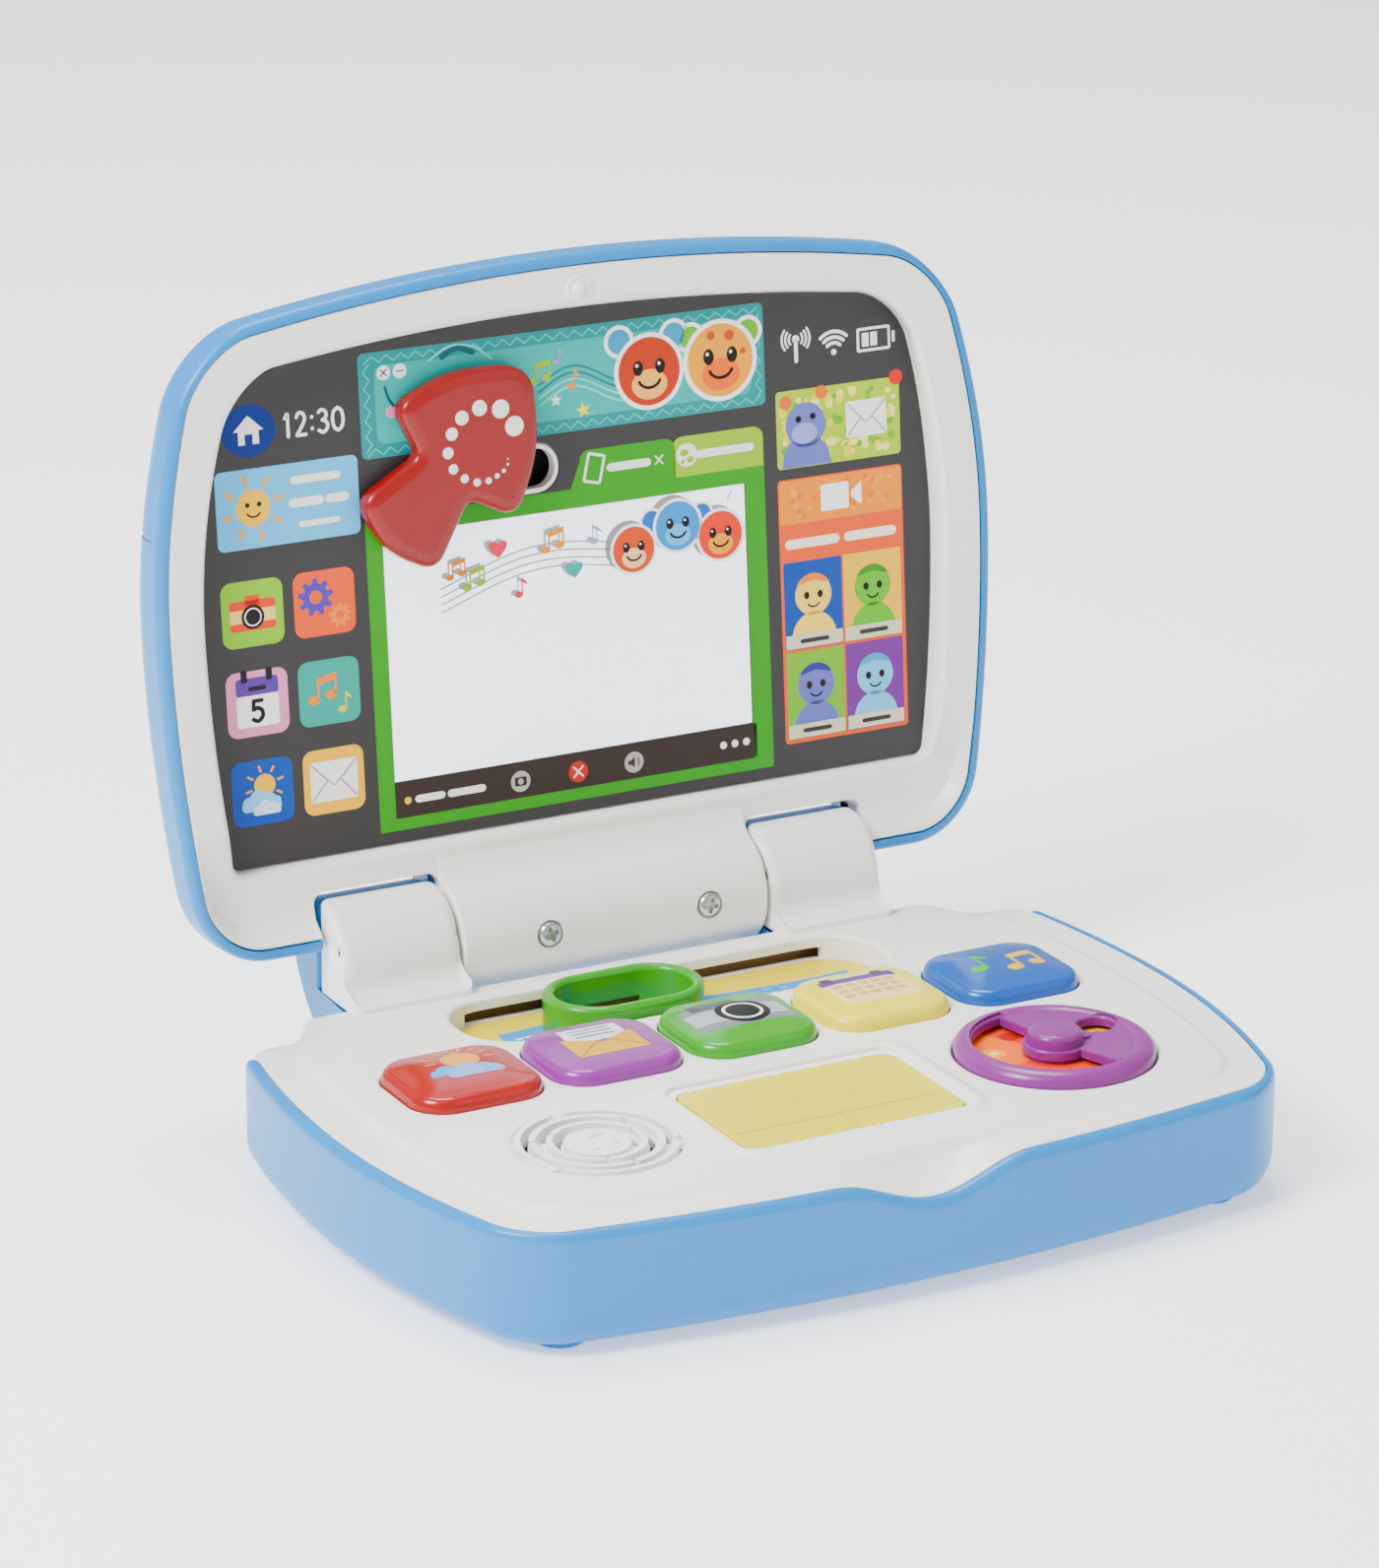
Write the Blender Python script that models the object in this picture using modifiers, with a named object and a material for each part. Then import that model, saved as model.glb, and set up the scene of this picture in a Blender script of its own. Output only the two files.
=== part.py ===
"""Toy laptop computer for toddlers: a clamshell with five picture keys, a finger slider, a touchpad, a dial and a
speaker in the base, and a framed screen picture with a mirror and a sliding arrow in the lid.

Metres, +Z up, +X to the user's right, +Y away from the user, standing on Z = 0.  Lengths below are millimetres
and are turned into metres where the meshes are made.  The lid is drawn in its own frame: x across, v up the screen
from the hinge axis, n out of the screen towards the user.
"""

import math

import bmesh
import bpy
import numpy as np
from mathutils import Matrix, Vector

MM = 0.001

# ---------------------------------------------------------------- driving dimensions, millimetres
GAP = 0.3                  # clearance between two pieces that touch or slide
HALF_WIDTH = 109.3         # widest half width of the base, inside the blue rim
BASE_FRONT = 163.5         # hinge axis to the front of the base, inside the rim
BASE_REAR = 29.5           # hinge axis to the outer rear edge
REAR_STEP = 12.5  # how far the middle of the rear edge stands back of its ends
RIM = 2.8                  # width of the blue rim round both halves
CORNER = 10.5              # front corner radius of the base, inside the rim
FOOT = 2.2  # height of the feet
RIM_Z = 29.75  # top of the base rim above the table
DECK_RISE = 1.4  # raised middle of the deck above the rim
DECK_THICK = 2.3           # wall of the deck panel
WALL = 2.2                 # wall of the blue shells
AXIS_Y = 71.55              # hinge axis, behind the middle of the footprint
AXIS_Z = 37.2  # hinge axis above the table
LEAN = 4.8                 # lid leans this far past upright, degrees
NOTCH_HALF = 25.0          # half width of the finger notch in the front rim
NOTCH_DEEP = 6.4           # its depth

KEY_PITCH = 35.75          # centre to centre of the five keys
KEY_W = 32.8               # a key, left to right
KEY_D = 30.2  # a key, front to back
KEY_Y = -73.7  # row of keys, from the hinge axis
KEY_TALL = 4.3  # crown of a key above the deck

PAD_X = (-32.5, 24.3)  # touchpad, left and right edges
PAD_Y = (-138.3, -101.8)  # touchpad, front and back edges

DIAL_AT = (58.4, -119.2)  # dial centre, from the hinge axis
DIAL_R = 23.5  # dial radius
DIAL_TALL = 3.2  # top of the dial rim above the deck
HUB_R = 6.4  # knob in the middle of the dial
HUB_TALL = 5.6  # its top above the deck

SPEAKER_AT = (-60.0, -118.2)

TRAY_X = (-56.5, 56.5)  # finger slider recess
TRAY_Y = (-56.0, -27.5)
TRAY_DEEP = 6.3  # recess depth
RING_AT = (-13.5, -42.4)  # finger ring, at rest
RING_L = 40.0  # ring length
RING_D = 25.0  # ring depth, front to back
RING_WALL = 3.0  # ring wall
RING_TALL = 3.0  # ring top above the deck
SLIT_X = (-48.5, 48.5)  # slit in the back wall of the recess

KNUCKLE_X = (42.3, 72.9)   # the base's hinge knuckles, left and right of the barrel
KNUCKLE_R = 14.6           # their radius in front
KNUCKLE_BACK_R = 16.2  # and behind
BARREL_HALF = 41.3  # half length of the lid's barrel
BARREL_R = 14.5
BARREL_BORE = 12.2         # the barrel is a hollow tube
PIN_R = 3.0                # hinge pins
CUTOUT_X = (41.6, 74.6)  # lid cut-outs that clear the knuckles
CUTOUT_V = 16.6

LID_HALF = 108.9           # widest half width of the bezel
LID_TOP = 159.2            # top of the bezel from the hinge axis
LID_BOTTOM = 6.0           # bottom edge of the bezel
LID_CORNER_TOP = 15.0
LID_CORNER_LOW = 14.0
SCREEN_N = -0.35           # front of the screen picture, behind the hinge axis
BEZEL_N = 6.95             # front of the bezel and of the blue rim
LID_BACK_N = -13.0         # back of the lid
LID_BACK_TAPER = 2.4       # the back comes forward this much at the top
SCREEN_THICK = 0.5         # printed screen sheet
MIRROR_X = (-50.4, 46.4)
MIRROR_V = (39.6, 99.2)
MIRROR_THICK = 1.8
SLOT_X = (-43.0, -4.7)  # slot that the arrow runs in
SLOT_V = 110.3
SLOT_TALL = 9.6
ARROW_AT = (-32.9, 114.9)  # middle of the arrow cap, at rest
ARROW_TURN = 45.0  # it points up and to the right, degrees
ARROW_THICK = 5.05
ARROW_LIFT = 0.5           # gap between the arrow cap and the screen
BARREL_SCREW_X = (-18.4, 25.1)
GROOVE_V = 107.0           # groove across the sides and back of the lid

CASE_SCREWS = ((-91.0, -126.0), (91.0, -126.0), (-92.0, -46.0), (92.0, -46.0))
FEET = ((-84.0, -146.5), (84.0, -146.5), (-78.0, -44.0), (78.0, -44.0))

DECK_Z = RIM_Z + DECK_RISE
DECK_UNDER = RIM_Z - DECK_THICK + 0.7
FLOOR_Z = FOOT + WALL

# ---------------------------------------------------------------- scene, collections, materials
for old in list(bpy.data.objects):
    bpy.data.objects.remove(old, do_unlink=True)

PARTS = bpy.data.collections.new("toy_laptop")
CUTTERS = bpy.data.collections.new("cutters")
bpy.context.scene.collection.children.link(PARTS)
bpy.context.scene.collection.children.link(CUTTERS)


def linear(hex_colour):
    """sRGB hex to the linear colour a shader takes."""
    out = []
    for i in (0, 2, 4):
        c = int(hex_colour[i:i + 2], 16) / 255.0
        out.append(c / 12.92 if c <= 0.04045 else ((c + 0.055) / 1.055) ** 2.4)
    return (*out, 1.0)


def material(name, hex_colour, roughness, metallic=0.0):
    mat = bpy.data.materials.new(name)
    mat.use_nodes = True
    shader = mat.node_tree.nodes["Principled BSDF"]
    shader.inputs["Base Color"].default_value = linear(hex_colour)
    shader.inputs["Roughness"].default_value = roughness
    shader.inputs["Metallic"].default_value = metallic
    mat.diffuse_color = linear(hex_colour)
    return mat


BLUE = material("blue plastic", "35A9E8", 0.35)
WHITE = material("white plastic", "F1F0EC", 0.35)
GREY_PRINT = material("grey printed sheet", "5C5A5B", 0.5)
MIRROR = material("mirror", "E6ECF2", 0.05, 1.0)
RED = material("red plastic", "D0281E", 0.3)
KEY_COLOURS = {
    "key_red": RED,
    "key_purple": material("purple key plastic", "A45AB6", 0.3),
    "key_green": material("green key plastic", "6BC249", 0.3),
    "key_yellow": material("yellow key plastic", "F1DF38", 0.3),
    "key_blue": material("blue key plastic", "1E7FD6", 0.3),
}
PURPLE = material("purple plastic", "A456AE", 0.35)
GREEN = material("green plastic", "68C243", 0.3)
YELLOW = material("yellow plastic", "E9D54C", 0.4)
TRAY_PRINT = material("yellow printed strip", "EFD23F", 0.5)
DIAL_PRINT = material("orange printed disc", "E56A3C", 0.5)
BROWN = material("dark carriage plastic", "5A4334", 0.5)
STEEL = material("zinc plated steel", "B9BDC0", 0.3, 1.0)
BOARD = material("green circuit board", "1E6B3C", 0.5)
RUBBER = material("grey silicone rubber", "9A9C9E", 0.8)
CELL = material("battery sleeve", "2F3A46", 0.4)
BLACK = material("black plastic", "1B1B1D", 0.5)


# ---------------------------------------------------------------- mesh helpers, all sizes in millimetres
def new_object(name, mesh, mat=None, cutter=False):
    """Puts a mesh in the scene: a part with its material, or a hidden cutter."""
    obj = bpy.data.objects.new(name, mesh)
    (CUTTERS if cutter else PARTS).objects.link(obj)
    if mat is not None:
        mesh.materials.append(mat)
    if cutter:
        obj.hide_render = True
        obj.display_type = "WIRE"
    return obj


def finish_mesh(name, bm):
    """Closes a bmesh into a mesh in metres with its faces pointing out."""
    bmesh.ops.recalc_face_normals(bm, faces=bm.faces)
    mesh = bpy.data.meshes.new(name)
    bm.to_mesh(mesh)
    bm.free()
    mesh.transform(Matrix.Scale(MM, 4))
    mesh.shade_smooth()
    mesh.set_sharp_from_angle(angle=math.radians(32))
    return mesh


def add_box(bm, x, y, z):
    """A box between the given pairs of limits."""
    size = Matrix.Diagonal((x[1] - x[0], y[1] - y[0], z[1] - z[0], 1.0))
    middle = Matrix.Translation(((x[0] + x[1]) / 2, (y[0] + y[1]) / 2, (z[0] + z[1]) / 2))
    bmesh.ops.create_cube(bm, size=1.0, matrix=middle @ size)


def add_rod(bm, at, radius, z, steps=24, along="Z", top_radius=None):
    """A cylinder or cone round the point at, from z[0] to z[1] along one axis."""
    turn = {
        "Z": Matrix.Identity(4),
        "X": Matrix.Rotation(math.radians(90), 4, "Y"),
        "Y": Matrix.Rotation(math.radians(-90), 4, "X"),
    }[along]
    middle = {
        "Z": Vector((at[0], at[1], (z[0] + z[1]) / 2)),
        "X": Vector(((z[0] + z[1]) / 2, at[0], at[1])),
        "Y": Vector((at[0], (z[0] + z[1]) / 2, at[1])),
    }[along]
    bmesh.ops.create_cone(
        bm, cap_ends=True, cap_tris=False, segments=steps, radius1=radius,
        radius2=radius if top_radius is None else top_radius, depth=z[1] - z[0],
        matrix=Matrix.Translation(middle) @ turn)


def add_loft(bm, rings):
    """A closed body through rings of equal length, with a flat cap at each end."""
    rows = [[bm.verts.new(p) for p in ring] for ring in rings]
    count = len(rows[0])
    for low, high in zip(rows, rows[1:]):
        for i in range(count):
            j = (i + 1) % count
            bm.faces.new((low[i], low[j], high[j], high[i]))
    bm.faces.new(rows[0])
    bm.faces.new(rows[-1])


def flat_mesh(name, outlines, z):
    """A flat sheet with the given outlines, holes included, between two heights: a filled and extruded 2D curve."""
    curve = bpy.data.curves.new(name, "CURVE")
    curve.dimensions = "2D"
    curve.fill_mode = "BOTH"
    curve.extrude = (z[1] - z[0]) / 2
    for outline in outlines:
        line = curve.splines.new("POLY")
        line.points.add(len(outline) - 1)
        for point, (x, y) in zip(line.points, outline):
            point.co = (x, y, 0.0, 1.0)
        line.use_cyclic_u = True
    holder = bpy.data.objects.new(name, curve)
    bpy.context.scene.collection.objects.link(holder)
    shape = holder.evaluated_get(bpy.context.evaluated_depsgraph_get())
    mesh = bpy.data.meshes.new_from_object(shape)
    bpy.data.objects.remove(holder, do_unlink=True)
    bm = bmesh.new()
    bm.from_mesh(mesh)
    bpy.data.meshes.remove(mesh)
    bmesh.ops.remove_doubles(bm, verts=bm.verts, dist=1e-4)
    bmesh.ops.translate(bm, verts=bm.verts, vec=(0, 0, (z[0] + z[1]) / 2))
    return bm


def add_flat(bm, outlines, z):
    """Adds such a sheet to a bmesh."""
    sheet = flat_mesh("sheet", outlines, z)
    held = bpy.data.meshes.new("sheet")
    sheet.to_mesh(held)
    sheet.free()
    bm.from_mesh(held)
    bpy.data.meshes.remove(held)


def turned(name, profile, mat, steps=32, ring=False, cutter=False):
    """A turned body: the profile (radius, height) runs down its outer side, and a Screw modifier turns it."""
    mesh = bpy.data.meshes.new(name)
    verts = [(r * MM, 0.0, z * MM) for r, z in profile]
    edges = [(i, i + 1) for i in range(len(verts) - 1)]
    if ring:
        edges.append((len(verts) - 1, 0))
    mesh.from_pydata(verts, edges, [])
    obj = new_object(name, mesh, mat, cutter)
    screw = obj.modifiers.new("turn", "SCREW")
    screw.axis = "Z"
    screw.steps = steps
    screw.render_steps = steps
    screw.use_merge_vertices = True
    screw.merge_threshold = 1e-6
    screw.use_smooth_shade = True
    return obj


LARGE_SHELLS = ("base_casing", "deck_panel", "lid_shell")


def boolean(obj, other, operation, crossing=False):
    """Joins or cuts with another body; crossing says that the other body's own pieces cross each other.  The three
    large thin shells leave open slivers with the exact solver, so they take the manifold one."""
    change = obj.modifiers.new(other.name, "BOOLEAN")
    change.operation = operation
    change.object = other
    if obj.name in LARGE_SHELLS:
        change.solver = "MANIFOLD"
    else:
        change.solver = "EXACT"
        change.use_self = crossing


def helper(name, bm, frame=None, mat=None):
    """A hidden body that is joined to a part or cut from it."""
    if frame is LID:
        bmesh.ops.transform(bm, matrix=Matrix.Rotation(math.radians(90), 4, "X"), verts=bm.verts)
    obj = new_object(name, finish_mesh(name, bm), mat, cutter=True)
    if frame is not None:
        frame(obj)
    return obj


def part(name, bm, mat, frame=None):
    """A part made from a bmesh; in the lid frame it is drawn as x, v, n."""
    if frame is LID:
        bmesh.ops.transform(bm, matrix=Matrix.Rotation(math.radians(90), 4, "X"), verts=bm.verts)
    obj = new_object(name, finish_mesh(name, bm), mat)
    if frame is not None:
        frame(obj)
    return obj


def LID(obj):
    """Stands an object drawn in the lid frame on the hinge axis, leaning back."""
    obj.location = (0.0, AXIS_Y * MM, AXIS_Z * MM)
    obj.rotation_euler = (-math.radians(LEAN), 0.0, 0.0)


def BASE(obj):
    """Base pieces are drawn with y from the hinge axis and z from the table."""
    obj.location = (0.0, AXIS_Y * MM, 0.0)


def move_origin(obj, point):
    """Puts an object's origin at a point of its drawing, keeping the shape where it is."""
    shift = Vector(point) * MM
    obj.data.transform(Matrix.Translation(-shift))
    obj.location = obj.location + obj.rotation_euler.to_matrix() @ shift


def smooth(a, b, t):
    """0 at a, 1 at b, with level ends."""
    s = min(max((t - a) / (b - a), 0.0), 1.0)
    return s * s * (3 - 2 * s)


def arc(cx, cy, rx, ry, start, end, count):
    """Points on an elliptic arc, degrees, ends included."""
    out = []
    for a in np.radians(np.linspace(start, end, count)):
        out.append((cx + rx * math.cos(a), cy + ry * math.sin(a)))
    return out


def rounded_box(x, y, radius, steps=5):
    """A rectangle with round corners, anticlockwise."""
    (x0, x1), (y0, y1) = x, y
    out = []
    for cx, cy, start in ((x1 - radius, y0 + radius, -90), (x1 - radius, y1 - radius, 0),
                          (x0 + radius, y1 - radius, 90), (x0 + radius, y0 + radius, 180)):
        out += arc(cx, cy, radius, radius, start, start + 90, steps)
    return out


def round_polygon(points, radii, steps=5):
    """A polygon whose corners are rounded with the given radii."""
    out = []
    count = len(points)
    for i, (point, radius) in enumerate(zip(points, radii)):
        here = np.array(point, float)
        back = np.array(points[i - 1], float) - here
        ahead = np.array(points[(i + 1) % count], float) - here
        back_len, ahead_len = np.linalg.norm(back), np.linalg.norm(ahead)
        back, ahead = back / back_len, ahead / ahead_len
        half = math.acos(float(np.clip(back @ ahead, -1, 1))) / 2
        reach = min(radius / math.tan(half), 0.48 * back_len, 0.48 * ahead_len)
        first, last = here + back * reach, here + ahead * reach
        for t in np.linspace(0, 1, steps):
            out.append(tuple((1 - t) ** 2 * first + 2 * t * (1 - t) * here + t * t * last))
    return out


# ---------------------------------------------------------------- outline of the base
FRONT_XS = np.array([-0.88, -0.55, -0.26, -0.17, -0.085, 0.0, 0.085, 0.17, 0.26, 0.55, 0.88])
REAR_XS = np.array([0.94, 0.905, 0.87, 0.83, 0.0, -0.83, -0.87, -0.905, -0.94])


def base_loop(inset, corner=CORNER, rear_corner=6.0):
    """Outline of the base, inset from the inside of the rim: bowed sides and front, and a rear edge whose middle
    stands back between the hinge knuckles."""
    half = HALF_WIDTH - inset
    front, rear = -BASE_FRONT + inset, -BASE_REAR - inset
    rc = max(corner - inset, 1.2)
    rr = max(rear_corner - inset, 1.0)
    flat = [(x * (half - rc), front) for x in FRONT_XS]
    flat += arc(half - rc, front + rc, rc, rc, -90, 0, 5)
    flat += [(half, y) for y in np.linspace(front + rc, rear - rr, 6)[1:-1]]
    flat += arc(half - rr, rear - rr, rr, rr, 0, 90, 4)
    flat += [(x * (half - rr), rear) for x in REAR_XS]
    flat += arc(-half + rr, rear - rr, rr, rr, 90, 180, 4)
    flat += [(-half, y) for y in np.linspace(rear - rr, front + rc, 6)[1:-1]]
    flat += arc(-half + rc, front + rc, rc, rc, 180, 270, 5)
    out = []
    for x, y in flat:
        ahead = -(y + 87.0)
        bow = (0.0023 if ahead > 0 else 0.00165) * ahead * ahead
        share = (-BASE_REAR - y) / (BASE_FRONT - BASE_REAR)
        back = REAR_STEP * (1 - smooth(86, 97, abs(x))) * (1 - smooth(2, 12, rear - y))
        out.append((x * (1 - bow / HALF_WIDTH), y + 0.00073 * x * x * share + back))
    return out


def notch(x, y):
    """Depth of the finger notch under a point near the front edge."""
    if abs(x) >= NOTCH_HALF or y > -60:
        return 0.0
    return NOTCH_DEEP * 0.5 * (1 + math.cos(math.pi * x / NOTCH_HALF))


def base_ring(inset, z, follow=0.0, **kw):
    """One ring of the base; follow is how much of the finger notch it takes."""
    return [(x, y, z - follow * notch(x, y)) for x, y in base_loop(inset, **kw)]


# ---------------------------------------------------------------- blue base casing
def knuckle_rings(x0, x1, profile, end=2.2):
    """A block across the hinge whose ends are rounded: the profile (y, z) shrinks towards both ends."""
    middle = np.mean(np.array(profile), axis=0)
    rings = []
    for x, shrink in ((x0, end), (x0 + 0.35 * end, 0.4 * end), (x0 + end, 0.0),
                      (x1 - end, 0.0), (x1 - 0.35 * end, 0.4 * end), (x1, end)):
        ring = []
        for y, z in profile:
            away = np.array((y, z)) - middle
            scale = 1 - shrink / max(float(np.linalg.norm(away)), 1e-6)
            keep = middle + away * scale
            ring.append((x, float(keep[0]), float(keep[1])))
        rings.append(ring)
    return rings


def make_casing():
    bm = bmesh.new()
    rings = [base_ring(inset, z, follow, corner=14.0 if z < 12 else CORNER) for inset, z, follow in (
        (4.6, FOOT, 0), (1.4, FOOT + 0.9, 0), (-0.9, FOOT + 2.7, 0), (-2.2, FOOT + 5.4, 0),
        (-RIM, FOOT + 8.6, 0), (-RIM, RIM_Z - 2.4, 0.93), (-RIM + 0.6, RIM_Z - 0.8, 1.0),
        (-RIM + 1.9, RIM_Z, 1.0), (0.0, RIM_Z, 1.0), (0.0, RIM_Z - DECK_THICK - 0.1, 1.0),
        (1.8, RIM_Z - DECK_THICK - 0.1, 1.0), (1.8, FLOOR_Z + 9, 0), (3.0, FLOOR_Z + 2.6, 0), (6.6, FLOOR_Z, 0))]
    add_loft(bm, rings)
    casing = part("base_casing", bm, BLUE, BASE)

    cut = bmesh.new()
    ledge = RIM_Z - DECK_THICK - 0.4
    for side in (-1, 1):
        x0, x1 = sorted((side * (KNUCKLE_X[0] - GAP), side * (KNUCKLE_X[1] + GAP)))
        add_box(cut, (x0, x1), (-26.0, 0.0), (ledge, 60.0))
    boolean(casing, helper("casing_knuckle_gap", cut, BASE), "DIFFERENCE")

    add = bmesh.new()
    for side in (-1, 1):
        x0, x1 = sorted((side * KNUCKLE_X[0], side * KNUCKLE_X[1]))
        back = [(y, z + AXIS_Z) for y, z in arc(0, 0, KNUCKLE_BACK_R, KNUCKLE_BACK_R, 90, -38, 10)]
        profile = [(GAP / 2, AXIS_Z + KNUCKLE_R)] + back[1:] + [
            (-1.0, FOOT + 10.0), (-14.0, FOOT + 1.5), (-19.6, FOOT + 1.5), (-19.6, ledge), (GAP / 2, ledge)]
        add_loft(add, knuckle_rings(x0, x1, profile))
    joined = helper("casing_knuckles", add, BASE)
    boolean(casing, joined, "UNION")

    add = bmesh.new()
    for x, y in FEET:
        add_rod(add, (x, y), 5.2, (0.0, FOOT + 1.2), 16, top_radius=6.4)
    add_box(add, (-30.0, 31.0), (-137.5, -100.5), (FOOT + 0.8, 22.5))
    for x, y in CASE_SCREWS:
        add_rod(add, (x, y), 5.4, (FOOT + 0.8, 12.0), 16)
    boolean(casing, helper("casing_bosses", add, BASE), "UNION")
    add = bmesh.new()
    add_box(add, (-36.5, 37.5), (-142.0, -96.0), (FOOT + 0.9, FOOT + 4.5))
    boolean(casing, helper("casing_battery_floor", add, BASE), "UNION")

    cut = bmesh.new()
    add_box(cut, (-28.0, 29.0), (-135.5, -102.5), (FOOT + 3.4, 40.0))
    for x, y in CASE_SCREWS:
        add_rod(cut, (x, y), 3.7, (FOOT - 1.0, FOOT + 4.2), 16)
    add_flat(cut, [rounded_box((47.0, 67.0), (-100.0, -91.0), 2.0, 4)], (FOOT - 1.0, FOOT + 1.1))
    boolean(casing, helper("casing_battery_pit", cut, BASE), "DIFFERENCE")
    cut = bmesh.new()
    add_flat(cut, [rounded_box((-34.0, 35.0), (-139.5, -98.5), 3.0, 4)], (FOOT - 1.0, FOOT + 2.0 + GAP))
    boolean(casing, helper("casing_door_seat", cut, BASE), "DIFFERENCE")
    cut = bmesh.new()
    add_box(cut, (-24.0, 25.0), (-133.5, -104.5), (FOOT - 1.0, FOOT + 4.0))
    for x, y in CASE_SCREWS:
        add_rod(cut, (x, y), 1.9, (FOOT + 3.0, 13.0), 12)
    add_rod(cut, (30.0, -119.0), 1.5, (FOOT - 1.0, FOOT + 9.0), 12)
    add_box(cut, (51.0, 63.0), (-97.6, -93.4), (FOOT - 1.0, FLOOR_Z + 1.0))
    for side in (-1, 1):
        x0, x1 = sorted((side * (KNUCKLE_X[0] - 3), side * (KNUCKLE_X[0] + 18)))
        add_rod(cut, (0.0, AXIS_Z), PIN_R + GAP, (x0, x1), 20, along="X")
        x0, x1 = sorted((side * (KNUCKLE_X[0] + 3.0), side * (KNUCKLE_X[1] - 3.0)))
        add_box(cut, (x0, x1), (-40.0, 0.5), (FLOOR_Z + 2.0, DECK_UNDER - 3.0))
    boolean(casing, helper("casing_openings", cut, BASE), "DIFFERENCE")
    return casing


# ---------------------------------------------------------------- white deck panel
RECESS = rounded_box(TRAY_X, TRAY_Y, 12.5, 6)
TRAY_Z = DECK_Z - TRAY_DEEP


def key_centre(index):
    return (index - 2) * KEY_PITCH, KEY_Y


def key_outline(grow):
    """A key seen from above: a square with round corners and slightly bowed sides."""
    half_w, half_d = KEY_W / 2 + grow, KEY_D / 2 + grow
    out = []
    for x, y in rounded_box((-half_w, half_w), (-half_d, half_d), max(8.0 + grow, 1.5), 4):
        bow = 0.5 * (1 - (y / half_d) ** 2) * (x / half_w)
        out.append((x + bow - 0.5 * (x / half_w), y))
    return out


def grille_slots():
    """Concentric arcs between the rings of the speaker grille, each broken by three bridges."""
    slots = []
    for radius, width, turn in ((8.7, 1.5, 30), (12.2, 1.5, 90), (16.2, 1.6, 30)):
        for k in range(3):
            start = turn + 120 * k + 14
            end = turn + 120 * (k + 1) - 14
            outer = arc(0, 0, radius + width / 2, radius + width / 2, start, end, 7)
            inner = arc(0, 0, radius - width / 2, radius - width / 2, end, start, 7)
            slots.append([(x + SPEAKER_AT[0], y + SPEAKER_AT[1]) for x, y in outer + inner])
    return slots


def make_deck():
    bm = bmesh.new()
    rings = [base_ring(inset, z, follow, **kw) for inset, z, follow, kw in (
        (14.0, DECK_UNDER, 0, dict(corner=20.0)), (9.0, RIM_Z - DECK_THICK, 0.55, {}),
        (GAP, RIM_Z - DECK_THICK + 0.2, 1.0, {}), (GAP, RIM_Z - 0.3, 1.0, {}), (GAP + 0.3, RIM_Z, 1.0, {}),
        (8.6, RIM_Z, 0.45, dict(corner=18.0)), (9.8, RIM_Z + 0.25, 0.0, dict(corner=18.5)),
        (11.2, DECK_Z - 0.12, 0, dict(corner=19.0)), (12.2, DECK_Z, 0, dict(corner=20.0)))]
    add_loft(bm, rings)
    deck = part("deck_panel", bm, WHITE, BASE)

    add = bmesh.new()
    front = [(y, z + AXIS_Z) for y, z in arc(0, 0, KNUCKLE_R, KNUCKLE_R, 90, 184, 10)]
    profile = [(-GAP / 2, AXIS_Z + KNUCKLE_R - 0.05)] + front[1:] + [
        (-15.4, AXIS_Z - 3.4), (-16.8, AXIS_Z - 5.0), (-19.0, DECK_Z - 0.1), (-21.0, DECK_Z - 0.4),
        (-21.0, RIM_Z - DECK_THICK + 0.1), (-GAP / 2, RIM_Z - DECK_THICK + 0.1)]
    for side in (-1, 1):
        x0, x1 = sorted((side * KNUCKLE_X[0], side * KNUCKLE_X[1]))
        add_loft(add, knuckle_rings(x0, x1, profile))
    boolean(deck, helper("deck_knuckles", add, BASE), "UNION")

    add = bmesh.new()
    grown = rounded_box((TRAY_X[0] - 2, TRAY_X[1] + 2), (TRAY_Y[0] - 1.6, TRAY_Y[1] + 1.8), 14.0, 6)
    add_flat(add, [grown], (TRAY_Z - 2.4, DECK_UNDER + 0.6))
    add_rod(add, DIAL_AT, DIAL_R + 2.6, (DECK_Z - 6.2, DECK_UNDER + 0.6), 40)
    for x, y in CASE_SCREWS:
        add_rod(add, (x, y), 4.0, (12.0 + GAP, DECK_UNDER + 0.6), 16)
    boolean(deck, helper("deck_wells", add, BASE), "UNION")

    cut = bmesh.new()
    for index in range(5):
        cx, cy = key_centre(index)
        add_flat(cut, [[(x + cx, y + cy) for x, y in key_outline(GAP)]], (10.0, 50.0))
    pad = rounded_box((PAD_X[0] - GAP, PAD_X[1] + GAP), (PAD_Y[0] - GAP, PAD_Y[1] + GAP), 4.0, 5)
    add_flat(cut, [pad], (10.0, 50.0))
    add_flat(cut, [RECESS], (TRAY_Z - 0.5 - GAP, 50.0))
    add_rod(cut, DIAL_AT, DIAL_R + GAP, (DECK_Z - 4.6, 50.0), 40)
    add_flat(cut, grille_slots(), (10.0, 50.0))
    for x, y in CASE_SCREWS:
        add_rod(cut, (x, y), 1.6, (10.0, 24.0), 12)
    boolean(deck, helper("deck_openings", cut, BASE), "DIFFERENCE")

    cut = bmesh.new()
    add_rod(cut, DIAL_AT, 3.0 + GAP, (10.0, DECK_Z - 3.0), 20)
    add_box(cut, SLIT_X, (TRAY_Y[1] - 4.0, TRAY_Y[1] + 4.0), (TRAY_Z + 0.1, TRAY_Z + 2.0))
    for side in (-1, 1):
        x0, x1 = sorted((side * (KNUCKLE_X[0] - 3), side * (KNUCKLE_X[0] + 18)))
        add_rod(cut, (0.0, AXIS_Z), PIN_R + GAP, (x0, x1), 20, along="X")
    boolean(deck, helper("deck_slits", cut, BASE), "DIFFERENCE")
    return deck


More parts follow.
